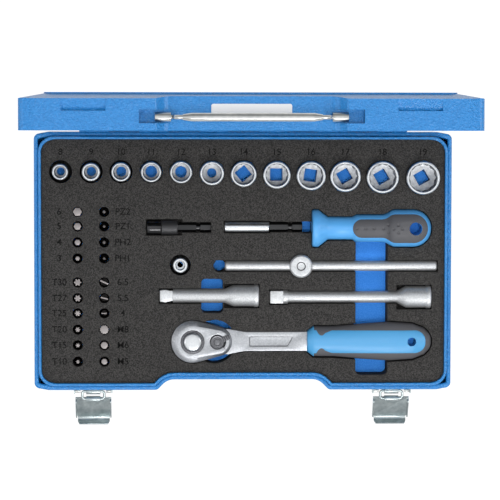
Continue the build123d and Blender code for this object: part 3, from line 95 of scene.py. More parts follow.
def grain_group():
    """Uneven grain on Object coordinates: a mask around one half, and round cells as a height."""
    group = bpy.data.node_groups.new("surface_grain", "ShaderNodeTree")
    face = group.interface
    face.new_socket("Scale", in_out="INPUT", socket_type="NodeSocketFloat")
    face.new_socket("Detail", in_out="INPUT", socket_type="NodeSocketFloat")
    face.new_socket("Mask", in_out="OUTPUT", socket_type="NodeSocketFloat")
    face.new_socket("Cells", in_out="OUTPUT", socket_type="NodeSocketFloat")
    entry = group.nodes.new("NodeGroupInput")
    leave = group.nodes.new("NodeGroupOutput")
    place = group.nodes.new("ShaderNodeTexCoord")
    noise = group.nodes.new("ShaderNodeTexNoise")
    cells = group.nodes.new("ShaderNodeTexVoronoi")
    cells.feature = "SMOOTH_F1"
    cells.inputs["Smoothness"].default_value = 0.6
    link = group.links.new
    for texture in (noise, cells):
        link(place.outputs["Object"], texture.inputs["Vector"])
        link(entry.outputs["Scale"], texture.inputs["Scale"])
    link(entry.outputs["Detail"], noise.inputs["Detail"])
    link(noise.outputs["Fac"], leave.inputs["Mask"])
    link(cells.outputs["Distance"], leave.inputs["Cells"])
    return group


surface_grain = grain_group()


def add_grain(tree, scale, detail):
    """Places the shared grain in a material with its own values."""
    grain = tree.nodes.new("ShaderNodeGroup")
    grain.node_tree = surface_grain
    grain.inputs["Scale"].default_value = scale
    grain.inputs["Detail"].default_value = detail
    return grain


def add_ramp(tree, value, stops):
    """Colour ramp on a value; stops are (position, colour)."""
    ramp = tree.nodes.new("ShaderNodeValToRGB")
    elements = ramp.color_ramp.elements
    while len(elements) < len(stops):
        elements.new(0.5)
    for element, (position, colour) in zip(elements, stops):
        element.position = position
        element.color = (*colour, 1)
    tree.links.new(value, ramp.inputs["Fac"])
    return ramp.outputs["Color"]


def colour_by(tree, shader, value, stops):
    """Lets a value choose the base colour along a ramp."""
    tree.links.new(add_ramp(tree, value, stops), shader.inputs["Base Color"])


def add_bump(tree, shader, height, strength, depth):
    """Bump from a height."""
    bump = tree.nodes.new("ShaderNodeBump")
    bump.inputs["Strength"].default_value = strength
    bump.inputs["Distance"].default_value = depth
    tree.links.new(height, bump.inputs["Height"])
    tree.links.new(bump.outputs["Normal"], shader.inputs["Normal"])


def dress(name, finish):
    """Gives a CAD node its finish."""
    slots = nodes[name].data.materials
    slots.clear()
    slots.append(finish)


def select_only(piece):
    """Makes one piece the selected and active one."""
    bpy.ops.object.select_all(action="DESELECT")
    piece.select_set(True)
    bpy.context.view_layer.objects.active = piece


def start_edit(piece):
    """Opens one piece in edit mode with all of it selected."""
    select_only(piece)
    bpy.ops.object.mode_set(mode="EDIT")
    bpy.ops.mesh.select_all(action="SELECT")


def end_edit():
    """Goes back to object mode."""
    bpy.ops.object.mode_set(mode="OBJECT")


def split_all(axis, place):
    """Cuts the whole mesh that is open in edit mode along a plane square to an axis."""
    normal = [0.0, 0.0, 0.0]
    normal[axis] = 1.0
    bpy.ops.mesh.select_all(action="SELECT")
    bpy.ops.mesh.bisect(plane_co=[place * value for value in normal], plane_no=normal)


def merged_copy(node, name, seams=()):
    """A copy of a CAD node as one closed mesh, its blocks joined at their seams and its flats whole."""
    piece = nodes[node].copy()
    piece.data = nodes[node].data.copy()
    piece.parent = None
    piece.name = name
    for key in list(piece.keys()):
        del piece[key]
    bpy.context.scene.collection.objects.link(piece)
    start_edit(piece)
    bpy.ops.mesh.remove_doubles(threshold=SEAM_REACH)
    for axis, place in seams:
        split_all(axis, place)
    bpy.ops.mesh.select_all(action="SELECT")
    bpy.ops.mesh.remove_doubles(threshold=SEAM_REACH)
    bpy.ops.mesh.select_all(action="DESELECT")
    bpy.ops.mesh.select_mode(type="FACE")
    end_edit()
    points = piece.data.vertices
    for face in piece.data.polygons:
        face.select = any(
            all(abs(points[index].co[axis] - place) < SEAM_REACH for index in face.vertices)
            for axis, place in seams
        )
    bpy.ops.object.mode_set(mode="EDIT")
    if seams:
        bpy.ops.mesh.delete(type="FACE")
        bpy.ops.mesh.select_all(action="SELECT")
        bpy.ops.mesh.fill_holes(sides=0)
        bpy.ops.mesh.select_all(action="SELECT")
        bpy.ops.mesh.normals_make_consistent(inside=False)
    bpy.ops.mesh.select_all(action="SELECT")
    bpy.ops.mesh.dissolve_limited(angle_limit=math.radians(FLAT_ANGLE))
    bpy.ops.mesh.customdata_custom_splitnormals_clear()
    end_edit()
    return piece


def weld(piece, reach):
    """Merges the points of a piece that lie closer than a reach."""
    start_edit(piece)
    bpy.ops.mesh.remove_doubles(threshold=reach)
    end_edit()


def soften(piece, width, angle=SHARP_ANGLE):
    """Rounds the sharp edges of a piece and shades it smooth between them."""
    weld(piece, CORNER_REACH)
    bevel = piece.modifiers.new("edge_round", "BEVEL")
    bevel.width = width
    bevel.segments = 2
    bevel.limit_method = "ANGLE"
    bevel.angle_limit = math.radians(angle)
    bevel.use_clamp_overlap = True
    select_only(piece)
    bpy.ops.object.modifier_apply(modifier=bevel.name)
    weld(piece, BEVEL_REACH)
    bpy.ops.object.shade_smooth_by_angle(angle=math.radians(angle))


def seat(piece, finish, node):
    """Gives a finished piece its material, and lets it stand on its body for a CAD node."""
    piece.data.materials.clear()
    piece.data.materials.append(finish)
    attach(piece, nodes[node]["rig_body"])
    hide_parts(node)


def make(node, finish, width=BROKEN_EDGE, angle=SHARP_ANGLE):
    """A CAD node's own shape with its edges broken, as a workshop leaves them."""
    piece = merged_copy(node, f"{node}_made")
    soften(piece, width, angle)
    seat(piece, finish, node)
    return piece


enamel, tree, shader = new_finish("hammer_enamel", ENAMEL_BLUE, roughness=0.36)
shader.inputs["Specular IOR Level"].default_value = 0.35
shader.inputs["Coat Weight"].default_value = 0.3
shader.inputs["Coat Roughness"].default_value = 0.07
hammering = add_grain(tree, HAMMER_SCALE, detail=1.0)
blotches = add_grain(tree, BLOTCH_SCALE, detail=4.0)
enamel_stops = [(0.34, ENAMEL_DEEP), (0.52, ENAMEL_BLUE), (0.72, ENAMEL_LIGHT)]
colour_by(tree, shader, blotches.outputs["Mask"], enamel_stops)
add_bump(tree, shader, hammering.outputs["Cells"], strength=0.9, depth=HAMMER_DEPTH)
for name in ("rim_lip", "lid_shell", "hinge_leaf_base", "hinge_leaf_lid"):
    dress(name, enamel)
make("base_shell", enamel, SHELL_EDGE, SHELL_ANGLE)


# Hinge pin, bail, ferrules, latch brackets, rivets and links: zinc-plated steel wire and strip.
# The plating is bright with a faint cloudy bloom; the strip is bent cold and the wire is butt-welded.
ZINC_BLOOM = 240
PLATE_GRAIN = 900
PLATE_DEPTH = 0.1 * MM
WIRE_EDGE = 0.2 * MM


def plated_finish(name, dark, pale, roughness, scale=PLATE_GRAIN, metallic=1.0):
    """Plated steel, a little uneven in tone, with a fine grain; blasted steel is less metallic."""
    made, tree, shader = new_finish(name, pale, metallic=metallic, roughness=roughness)
    bloom = add_grain(tree, scale, detail=4.0)
    colour_by(tree, shader, bloom.outputs["Mask"], [(0.3, dark), (0.7, pale)])
    add_bump(tree, shader, bloom.outputs["Mask"], strength=0.12, depth=PLATE_DEPTH)
    return made


zinc = plated_finish(
    "zinc_plate", dark=(0.32, 0.37, 0.38), pale=(0.51, 0.56, 0.56), roughness=0.33, scale=ZINC_BLOOM
)
bright_zinc = plated_finish(
    "bright_zinc", dark=(0.46, 0.47, 0.46), pale=(0.60, 0.60, 0.58), roughness=0.28, scale=ZINC_BLOOM
)
for name in sorted(nodes):
    if name.startswith("handle_"):
        make(name, bright_zinc, WIRE_EDGE)
    elif name == "latch_brackets":
        make(name, zinc, WIRE_EDGE)
    elif name.startswith("latch_") or name == "hinge_pin":
        dress(name, zinc)


# Bosses between each bracket's ears and its link: short turned stubs of plated steel.
# They are riveted into the ears beside the wire, which they keep in the middle.
BOSS_RADIUS = 1.25 * MM
BOSS_FROM = 10.0 * MM
BOSS_TO = 14.3 * MM
BOSS_BELOW_TOP = 3.85 * MM
BOSS_BEHIND_FRONT = 2.35 * MM
BOSS_EDGE = 0.3 * MM
CLASPS = ("latch_clasp_left", "latch_clasp_right")


def join_all(pieces):
    """Joins pieces to one and returns it."""
    bpy.ops.object.select_all(action="DESELECT")
    for piece in pieces:
        piece.select_set(True)
    bpy.context.view_layer.objects.active = pieces[0]
    bpy.ops.object.join()
    return bpy.context.object


def add_on(piece, finish, body):
    """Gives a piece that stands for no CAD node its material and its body."""
    piece.data.materials.clear()
    piece.data.materials.append(finish)
    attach(piece, body)


low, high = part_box("latch_brackets")
boss_y = low.y + BOSS_BEHIND_FRONT
boss_z = high.z - BOSS_BELOW_TOP
bosses = []
for node in CLASPS:
    near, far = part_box(node)
    for side in (-1, 1):
        bpy.ops.mesh.primitive_cylinder_add(
            vertices=32,
            radius=BOSS_RADIUS,
            depth=BOSS_TO - BOSS_FROM,
            location=((near.x + far.x) / 2 + side * (BOSS_FROM + BOSS_TO) / 2, boss_y, boss_z),
            rotation=(0, math.pi / 2, 0),
        )
        bosses.append(bpy.context.object)
stubs = join_all(bosses)
bpy.ops.object.transform_apply(location=True, rotation=True, scale=True)
stubs.name = "latch_bosses"
soften(stubs, BOSS_EDGE)
add_on(stubs, bright_zinc, nodes["latch_brackets"]["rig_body"])


# Clasps: plated strip bent at both ends and turned in at the sides, curled round the link at one end.
# The hook at the other end is nearly as wide as the plate and narrows a little towards its lip.
HOOK_HALF = 10.0 * MM
HOOK_REACH = 0.05 * MM
HOOK_SPREAD = 12.5 * MM
LIP_SPREAD = 11.2 * MM
LIP_HEIGHT = 2.6 * MM
CLASP_EDGE = 0.2 * MM
for node in CLASPS:
    clasp = merged_copy(node, f"{node}_made")
    low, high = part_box(node)
    middle = (low.x + high.x) / 2
    points = clasp.data.vertices
    hook = [point for point in points if abs(abs(point.co.x - middle) - HOOK_HALF) < HOOK_REACH]
    level = max(point.co.z for point in hook)
    for point in hook:
        spread = LIP_SPREAD if level - point.co.z < LIP_HEIGHT else HOOK_SPREAD
        point.co.x = middle + math.copysign(spread, point.co.x - middle)
    soften(clasp, CLASP_EDGE)
    seat(clasp, zinc, node)


# Label on the floor of the hand recess: a plain strip of off-white plastic foil.
# It is glued on, and its face has a faint fibre.
LABEL_WHITE = (0.58, 0.59, 0.61)
FIBRE_SCALE = 900
FIBRE_DEPTH = 0.1 * MM
foil, tree, shader = new_finish("label_foil", LABEL_WHITE, roughness=0.4)
fibres = add_grain(tree, FIBRE_SCALE, detail=3.0)
add_bump(tree, shader, fibres.outputs["Mask"], strength=0.1, depth=FIBRE_DEPTH)
dress("lid_label", foil)


# Foam: a dark layer, cut in the shape of every tool, glued on a blue layer, and a dark pad in the lid.
# All are closed-cell polyethylene, cut by water jet, with a fine speckle of open cells on the cut skin.
# The dark layer is one sheet to the eye: its blocks are joined at their seams, given as (axis, place).
FOAM_DARK = (0.016, 0.0155, 0.015)
FOAM_PALE = (0.058, 0.055, 0.053)
FOAM_BLUE = (0.045, 0.270, 0.900)
FOAM_SKY = (0.080, 0.360, 1.000)
SPECKLE_SCALE = 1400
CELL_SCALE = 2600
CELL_DEPTH = 0.3 * MM
FOAM_EDGE = 0.4 * MM
FOAM_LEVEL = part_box("foam_top")[1].z
FOAM_SEAMS = [(0, place * MM) for place in (-117.65, -85.0, -12.4, 49.2)]
FOAM_SEAMS += [(1, place * MM) for place in (-43.0, -15.5, -6.95, 8.0, 46.5)]
UPRIGHT = 0.6
DRIVER_Y = 25.5
RATCHET_Y = -62.3
EYE_SPAN = (126.0 * MM, 138.0 * MM)
EYE_ASIDE = 6.0 * MM
POCKET_FLOOR = 5.0 * MM


def foam_finish(name, dark, pale):
    """Foam with a speckle of cells."""
    made, tree, shader = new_finish(name, dark, roughness=0.92)
    shader.inputs["Specular IOR Level"].default_value = 0.25
    speckle = add_grain(tree, SPECKLE_SCALE, detail=5.0)
    cells = add_grain(tree, CELL_SCALE, detail=1.0)
    colour_by(tree, shader, speckle.outputs["Mask"], [(0.42, dark), (0.64, pale)])
    add_bump(tree, shader, cells.outputs["Cells"], strength=0.5, depth=CELL_DEPTH)
    return made


def bare_blue(layer, finish):
    """Shows the blue layer on the pocket floors under the eyes of the driver and the ratchet."""
    rows = [row * MM for row in (DRIVER_Y, RATCHET_Y)]
    start_edit(layer)
    for place in EYE_SPAN:
        split_all(0, place)
    for row in rows:
        for side in (-1, 1):
            split_all(1, row + side * EYE_ASIDE)
    end_edit()
    layer.data.materials.append(finish)
    for face in layer.data.polygons:
        is_floor = face.normal.z > UPRIGHT and FOAM_LEVEL - face.center.z > POCKET_FLOOR
        is_under = EYE_SPAN[0] < face.center.x < EYE_SPAN[1]
        if is_floor and is_under and any(abs(face.center.y - row) < EYE_ASIDE for row in rows):
            face.material_index = 1


foam_dark = foam_finish("dark_foam", FOAM_DARK, FOAM_PALE)
foam_blue = foam_finish("blue_foam", FOAM_BLUE, FOAM_SKY)
for node, finish, seams in (
    ("foam_top", foam_dark, FOAM_SEAMS),
    ("foam_bottom", foam_blue, ()),
    ("lid_pad", foam_dark, ()),
):
    layer = merged_copy(node, f"{node}_cut", seams)
    soften(layer, FOAM_EDGE)
    seat(layer, finish, node)
    if seams:
        bare_blue(layer, foam_blue)


# Size marks: figures and letters beside each socket and bit, burnt into the foam's skin with a hot stamp.
# They are matt, a little darker than the foam, and hardly have a depth.
MARK_DARK = (0.004, 0.004, 0.004)
MARK_DEPTH = 0.03 * MM
MARK_BOLD = 0.04 * MM
MARK_REACH = 0.001 * MM
SOCKET_SIZES = range(8, 20)
SOCKET_MARK_Y = 84.4
SOCKET_MARK_SIZE = 7.0
BIT_ROWS = (38.3, 27.1, 14.7, 2.3, -16.2, -28.5, -40.2, -52.8, -65.0, -77.7)
LEFT_MARKS = ("6", "5", "4", "3", "T30", "T27", "T25", "T20", "T15", "T10")
RIGHT_MARKS = ("PZ2", "PZ1", "PH2", "PH1", "6.5", "5.5", "4", "M8", "M6", "M5")
LEFT_MARK_X = -142.0
RIGHT_MARK_X = -93.0
BIT_MARK_SIZE = 7.2
burnt, tree, shader = new_finish("burnt_mark", MARK_DARK, roughness=1.0)
shader.inputs["Specular IOR Level"].default_value = 0.1
soot = add_grain(tree, SPECKLE_SCALE, detail=5.0)
colour_by(tree, shader, soot.outputs["Mask"], [(0.35, MARK_DARK), (0.75, FOAM_DARK)])


def turn_outward(piece):
    """Lets all faces of a closed piece point outwards."""
    start_edit(piece)
    bpy.ops.mesh.normals_make_consistent(inside=False)
    end_edit()


def size_marks(name, rows, height):
    """Marks on the foam as one piece; rows are (text, x, y) and the height is in millimetres, too."""
    made = []
    for text, x, y in rows:
        bpy.ops.object.text_add(location=(x * MM, y * MM, FOAM_LEVEL + MARK_DEPTH))
        mark = bpy.context.object
        mark.data.body = text
        mark.data.size = height * MM
        mark.data.align_x = "CENTER"
        mark.data.align_y = "CENTER"
        mark.data.extrude = MARK_DEPTH
        mark.data.offset = MARK_BOLD
        bpy.ops.object.convert(target="MESH")
        bpy.ops.object.transform_apply(location=True, rotation=True, scale=True)
        made.append(bpy.context.object)
    joined = join_all(made)
    joined.name = name
    weld(joined, MARK_REACH)
    turn_outward(joined)
    add_on(joined, burnt, "case_base")


middles = [(low + high) / 2 for low, high in (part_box(f"socket_{size}") for size in SOCKET_SIZES)]
size_marks(
    "socket_marks",
    [(str(size), middle.x / MM, SOCKET_MARK_Y) for size, middle in zip(SOCKET_SIZES, middles)],
    SOCKET_MARK_SIZE,
)
size_marks(
    "bit_marks",
    [(text, LEFT_MARK_X, y) for text, y in zip(LEFT_MARKS, BIT_ROWS)]
    + [(text, RIGHT_MARK_X, y) for text, y in zip(RIGHT_MARKS, BIT_ROWS)],
    BIT_MARK_SIZE,
)


# Sockets, adapter, T-handle and extensions: forged and turned alloy steel, plated with chrome.
# The sockets are bright; the T-handle and extensions are blasted before plating, so they are pale and soft.
# Within a socket's mouth the walls and the floor are painted darker than the chrome outside, the walls
# most: painted shade in the mouth.
chrome = plated_finish(
    "bright_chrome", dark=(0.60, 0.62, 0.64), pale=(0.76, 0.78, 0.80), roughness=0.28
)
satin = plated_finish(
    "satin_chrome", dark=(0.52, 0.53, 0.54), pale=(0.68, 0.69, 0.70), roughness=0.45, metallic=0.82
)
MOUTH_GRAIN = 420
# Painted shade in the sockets' mouths: a dark finish for the walls and a less dark one for the floor.
shaded_socket_wall = plated_finish(
    "shaded_socket_wall", dark=(0.16, 0.17, 0.18), pale=(0.30, 0.31, 0.33), roughness=0.42, scale=MOUTH_GRAIN
)
shaded_socket_floor = plated_finish(
    "shaded_socket_floor", dark=(0.40, 0.41, 0.43), pale=(0.62, 0.63, 0.65), roughness=0.42, scale=MOUTH_GRAIN
)
RIM_WIDTH = 1.1 * MM
MOUTH_DEPTH = 0.5 * MM
TOOL_EDGE = 0.2 * MM


def shade_inside(piece, node):
    """Gives the walls and the floor within the mouth of a socket darker finishes, the walls darker than the
    floor: painted shade.
    """
    low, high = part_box(node)
    middle = (low + high) / 2
    edge = (high.x - low.x) / 2 - RIM_WIDTH
    piece.data.materials.append(shaded_socket_wall)
    piece.data.materials.append(shaded_socket_floor)
    for face in piece.data.polygons:
        away = math.hypot(face.center.x - middle.x, face.center.y - middle.y)
        if away < edge and face.center.z < high.z - MOUTH_DEPTH:
            face.material_index = 1 if abs(face.normal.z) < UPRIGHT else 2


for size in SOCKET_SIZES:
    shade_inside(make(f"socket_{size}", chrome), f"socket_{size}")
make("bit_adapter", chrome)
for name in ("tbar_head", "tbar_rod", "extension_75", "extension_125"):
    make(name, satin, TOOL_EDGE)
for name in ("tbar_ball", "extension_75_ball", "extension_125_ball"):
    dress(name, chrome)


# Circlip in the seat on top of the T-handle's head: spring steel wire, bent to a ring and left dark.
# It is rolled a little flat, sprung into its seat, and holds the detent.
CLIP_RADIUS = 3.1 * MM
CLIP_WIRE = 0.36 * MM
CLIP_HEIGHT = 0.24 * MM
CLIP_SEAT = 0.3 * MM
CLIP_PROUD = 0.8
low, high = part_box("tbar_head")
middle = (low + high) / 2
bpy.ops.mesh.primitive_torus_add(
    major_segments=64,
    minor_segments=10,
    major_radius=CLIP_RADIUS,
    minor_radius=CLIP_WIRE,
    location=(0, 0, 0),
)
clip = bpy.context.object
clip.name = "tbar_head_circlip"
for point in clip.data.vertices:
    point.co.z *= CLIP_HEIGHT / CLIP_WIRE
    point.co += Vector((middle.x, middle.y, high.z - CLIP_SEAT + CLIP_HEIGHT * CLIP_PROUD))
select_only(clip)
bpy.ops.object.shade_smooth()
# This dark finish is the circlip's own colour, and is also used as painted shade on the lever's grooves.
dark_steel_and_groove_shade = plated_finish(
    "dark_spring_steel_and_groove_shade", dark=(0.06, 0.06, 0.065), pale=(0.10, 0.10, 0.11), roughness=0.4
)
add_on(clip, dark_steel_and_groove_shade, nodes["tbar_head"]["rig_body"])


# Bits: hardened tool steel, coloured dark below the foam's top as painted shade in their pockets, and
# ground steel near the top.
# They stand in the foam on their shanks; the cross bits' tips are painted darker still, a painted shade on
# the tapered points.
# Painted shade: the bits' colour darkens below the foam's top, and the cross bits' tips are painted darker.
BIT_POCKET_SHADE = (0.020, 0.018, 0.018)
BIT_TIP = (0.300, 0.275, 0.270)
CROSS_TIP_SHADE = (0.130, 0.120, 0.118)
TIP_FROM = FOAM_LEVEL - 1.6 * MM
TIP_FULL = FOAM_LEVEL - 0.5 * MM
BIT_EDGE = 0.1 * MM


def bit_finish(name, tip):
    """Dark painted shade below the foam's top that gives way to ground steel near the top of a standing
    bit.
    """
    made, tree, shader = new_finish(name, tip, metallic=0.85, roughness=0.48)
    place = tree.nodes.new("ShaderNodeTexCoord")
    split = tree.nodes.new("ShaderNodeSeparateXYZ")
    share = tree.nodes.new("ShaderNodeMapRange")
    share.inputs["From Min"].default_value = TIP_FROM
    share.inputs["From Max"].default_value = TIP_FULL
    tree.links.new(place.outputs["Object"], split.inputs[0])
    tree.links.new(split.outputs["Z"], share.inputs["Value"])
    colour_by(tree, shader, share.outputs["Result"], [(0.0, BIT_POCKET_SHADE), (1.0, tip)])
    return made


bit_steel = bit_finish("bit_steel_with_pocket_shade", BIT_TIP)
for name in ("hex_bits", "star_bits", "slotted_bits", "spline_bits"):
    make(name, bit_steel, BIT_EDGE)
make("cross_bits", bit_finish("cross_bit_steel_with_shade", CROSS_TIP_SHADE), BIT_EDGE)


# Chuck and magnetic holder: turned steel, blackened in a hot bath and oiled, with a magnet pressed in.
# The holder's sleeve is plated and pressed on its shank.
BLACKENED = (0.014, 0.014, 0.015)
FILM_SCALE = 700
FILM_DEPTH = 0.1 * MM
blackened, tree, shader = new_finish("blackened_steel", BLACKENED, metallic=0.9, roughness=0.27)
film = add_grain(tree, FILM_SCALE, detail=4.0)
add_bump(tree, shader, film.outputs["Mask"], strength=0.15, depth=FILM_DEPTH)
shader.inputs["Coat Weight"].default_value = 0.8
shader.inputs["Coat Roughness"].default_value = 0.1
for name in ("quick_chuck_body", "magnet_holder_shank"):
    make(name, blackened)
dress("magnet_holder_magnet", blackened)
make("magnet_holder_sleeve", chrome, TOOL_EDGE)


# Sliding sleeve of the chuck: blackened steel tube that runs on the body and lets the bit go.
# A diamond knurl is rolled into it between two turned-down ends; the whole sleeve is coloured a greyer
# black than the body.
# Its mesh is a flat grid wrapped round the axis; the outermost rows turn in to make the bore.
SLEEVE_GREY_BLACK = (0.05, 0.05, 0.052)
KNURL_AROUND = 108
KNURL_ALONG = 44
KNURL_TEETH = 18
KNURL_DEPTH = 0.28 * MM
KNURL_EDGE = 0.6 * MM
KNURL_ANGLE = 35.0
SLEEVE_BORE = 4.65 * MM
low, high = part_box("quick_chuck_sleeve")
axis_y, axis_z = (low.y + high.y) / 2, (low.z + high.z) / 2
sleeve_radius = (high.y - low.y) / 2
sleeve_length = high.x - low.x
tooth_pitch = sleeve_radius * 2 * math.pi / KNURL_TEETH
bpy.ops.mesh.primitive_grid_add(x_subdivisions=KNURL_AROUND, y_subdivisions=KNURL_ALONG, size=2)
sleeve = bpy.context.object
sleeve.name = "quick_chuck_sleeve_knurled"
for point in sleeve.data.vertices:
    turn = (point.co.x + 1) * math.pi
    row = round((point.co.y + 1) / 2 * KNURL_ALONG)
    share = min(max((row - 1) / (KNURL_ALONG - 3), 0.0), 1.0)
    along = low.x + share * sleeve_length
    twist = 2 * math.pi * share * sleeve_length / tooth_pitch
    ridge = max(abs(math.sin((KNURL_TEETH * turn + way * twist) / 2)) for way in (1, -1))
    edge = min(along - low.x, high.x - along)
    radius = sleeve_radius - KNURL_DEPTH * (1 - ridge) - max(KNURL_EDGE - edge, 0.0)
    if row in (0, KNURL_ALONG - 1, KNURL_ALONG):
        radius = SLEEVE_BORE
    if row == KNURL_ALONG:
        along = low.x
    point.co = (along, axis_y + radius * math.cos(turn), axis_z + radius * math.sin(turn))
weld(sleeve, BEVEL_REACH)
turn_outward(sleeve)
bpy.ops.object.shade_smooth_by_angle(angle=math.radians(KNURL_ANGLE))
sleeve_grey_black = new_finish("greyer_blackened_steel", SLEEVE_GREY_BLACK, metallic=0.7, roughness=0.36)[0]
seat(sleeve, sleeve_grey_black, "quick_chuck_sleeve")


# Driver handle: a hard blue core, injection-moulded, with a softer grey pad moulded over it afterwards.
# The pad has a row of finger dimples with a pair beside each of the last two gaps, and a half-round end.
# The core's shoulders come up beside that end, and a ring of the grey lines the mouth of the eye.
GRIP_BLUE = (0.080, 0.325, 0.670)
GRIP_GREY = (0.075, 0.075, 0.082)
MOULD_GRAIN = 1500
HARD_ROUGHNESS = 0.38
HARD_DEPTH = 0.1 * MM
SOFT_ROUGHNESS = 0.6
SOFT_DEPTH = 0.2 * MM
CORE_EDGE = 0.3 * MM
EYE_X = 132.9 * MM
EYE_RIM = 6.4 * MM
DIMPLE_RADIUS = 1.7 * MM
DIMPLE_DEPTH = 0.7 * MM
DIMPLE_ROW = (87.6, 94.4, 100.9, 108.2, 115.8, 122.3)
DIMPLE_PAIRS = (111.8, 119.2)
DIMPLE_ASIDE = 3.0
ABOVE_ALL = 100 * MM
PAD_END = 84.5
PAD_HALF = 7.2
PAD_EDGE = 0.2 * MM
WEDGE_PAST = 1.5
WEDGE_ASIDE = 9.5
WEDGE_NOSE = 0.6
WEDGE_HEIGHT = 60.0
SHOULDER_EDGE = 0.1 * MM


def moulded_finish(name, colour, roughness, depth):
    """Moulded plastic or rubber with a fine spark-eroded grain."""
    made, tree, shader = new_finish(name, colour, roughness=roughness)
    grain = add_grain(tree, MOULD_GRAIN, detail=3.0)
    add_bump(tree, shader, grain.outputs["Mask"], strength=0.25, depth=depth)
    return made


def carve(piece, tool, operation):
    """Applies a boolean with another piece."""
    cut = piece.modifiers.new("carve", "BOOLEAN")
    cut.operation = operation
    cut.solver = "EXACT"
    cut.object = tool
    select_only(piece)
    bpy.ops.object.modifier_apply(modifier=cut.name)


def prism(name, outline, middle, low, high):
    """Upright prism over an outline in millimetres and its mirror image across the grip."""
    count = len(outline)
    points, faces = [], []
    for side in (1, -1):
        base = len(points)
        for z in (low, high):
            points += [(x * MM, (middle + side * y) * MM, z * MM) for x, y in outline]
        faces.append([base + index for index in range(count)])
        faces.append([base + count + index for index in range(count)])
        for index in range(count):
            after = (index + 1) % count
            faces.append([base + index, base + after, base + count + after, base + count + index])
    mesh = bpy.data.meshes.new(name)
    mesh.from_pydata(points, [], faces)
    made = bpy.data.objects.new(name, mesh)
    bpy.context.scene.collection.objects.link(made)
    turn_outward(made)
    return made


def reach_from(piece, face, x, y):
    """How far the farthest corner of a face lies from an upright axis."""
    corners = [piece.data.vertices[index].co for index in face.vertices]
    return max(math.hypot(corner.x - x, corner.y - y) for corner in corners)


hard_blue = moulded_finish("hard_blue_core", GRIP_BLUE, HARD_ROUGHNESS, HARD_DEPTH)
soft_grey = moulded_finish("soft_grey_rubber", GRIP_GREY, SOFT_ROUGHNESS, SOFT_DEPTH)
core = make("driver_handle", hard_blue, CORE_EDGE)
core.data.materials.append(soft_grey)
for face in core.data.polygons:
    if reach_from(core, face, EYE_X, DRIVER_Y * MM) < EYE_RIM and abs(face.normal.z) > UPRIGHT:
        face.material_index = 1
pads = merged_copy("driver_grip_pads", "driver_grip_pads_made")
spots = [(x, DRIVER_Y) for x in DIMPLE_ROW]
spots += [(x, DRIVER_Y + side * DIMPLE_ASIDE) for x in DIMPLE_PAIRS for side in (-1, 1)]
balls = []
for x, y in spots:
    where, normal = nodes["driver_grip_pads"].ray_cast((x * MM, y * MM, ABOVE_ALL), (0, 0, -1))[1:3]
    middle = where + normal * (DIMPLE_RADIUS - DIMPLE_DEPTH)
    bpy.ops.mesh.primitive_uv_sphere_add(segments=20, ring_count=12, radius=DIMPLE_RADIUS, location=middle)
    balls.append(bpy.context.object)
cutter = join_all(balls)
carve(pads, cutter, "DIFFERENCE")
bpy.data.objects.remove(cutter)
corner = [(PAD_END - WEDGE_PAST, WEDGE_ASIDE), (PAD_END - WEDGE_PAST, WEDGE_NOSE)]
corner += [
    (PAD_END + PAD_HALF * (1 + math.cos(turn)), PAD_HALF * math.sin(turn))
    for turn in (math.radians(angle) for angle in range(175, 89, -5))
]
corner.append((PAD_END + PAD_HALF, WEDGE_ASIDE))
wedges = prism("driver_core_cutter", corner, DRIVER_Y, 0.0, WEDGE_HEIGHT)
shoulders = merged_copy("driver_grip_pads", "driver_core_shoulders")
carve(shoulders, wedges, "INTERSECT")
carve(pads, wedges, "DIFFERENCE")
bpy.data.objects.remove(wedges)
soften(shoulders, SHOULDER_EDGE)
add_on(shoulders, hard_blue, "driver")
soften(pads, PAD_EDGE)
seat(pads, soft_grey, "driver_grip_pads")


# Ratchet body, cover, drive and pawl: a forged body, blasted and plated, with a cover bolted on it.
# The toothed drive is phosphated and the pawl blackened.
# A fine dark line lies round the sunk panel on the shank: a painted shade at the panel's step.
BODY_EDGE = 0.25 * MM
COVER_EDGE = 0.2 * MM
PANEL_SHADE_LINE = 0.28 * MM
PANEL_EDGE = ((5.2, -3.5), (34.6, -3.5), (38.4, 3.5), (5.2, 3.5))
PANEL_FLOOR = 32.52
blasted = plated_finish(
    "blasted_chrome", dark=(0.39, 0.40, 0.42), pale=(0.52, 0.53, 0.55), roughness=0.46
)
phosphated_and_line_shade = plated_finish(
    "phosphated_steel_and_line_shade", dark=(0.10, 0.10, 0.11), pale=(0.17, 0.17, 0.18), roughness=0.42
)
make("ratchet_body", blasted, BODY_EDGE)
# Painted shade: a thin dark tube laid in the corner round the panel, where the step's shade falls; it
# shares the drive's dark finish.
edge = bpy.data.curves.new("ratchet_panel_shade_line", "CURVE")
edge.dimensions = "3D"
edge.bevel_depth = PANEL_SHADE_LINE
run = edge.splines.new("POLY")
run.points.add(len(PANEL_EDGE) - 1)
for point, (x, y) in zip(run.points, PANEL_EDGE):
    point.co = (x * MM, (RATCHET_Y + y) * MM, PANEL_FLOOR * MM, 1)
run.use_cyclic_u = True
line = bpy.data.objects.new("ratchet_panel_shade_line", edge)
bpy.context.scene.collection.objects.link(line)
select_only(line)
bpy.ops.object.convert(target="MESH")
add_on(line, phosphated_and_line_shade, "ratchet")
make("ratchet_cover", blasted, COVER_EDGE)
make("ratchet_drive", phosphated_and_line_shade)
dress("ratchet_ball", chrome)
dress("ratchet_pawl", blackened)


# Release button: turned steel, polished and plated, that runs through the middle of the drive.
# Its end is domed, worked up here from the flat face in rings.
DOME_RADIUS = 6.0
DOME_RISE = 0.95
DOME_RINGS = 9
DOME_TURN = 84.0
BUTTON_EDGE = 0.15 * MM
BUTTON_ANGLE = 45.0


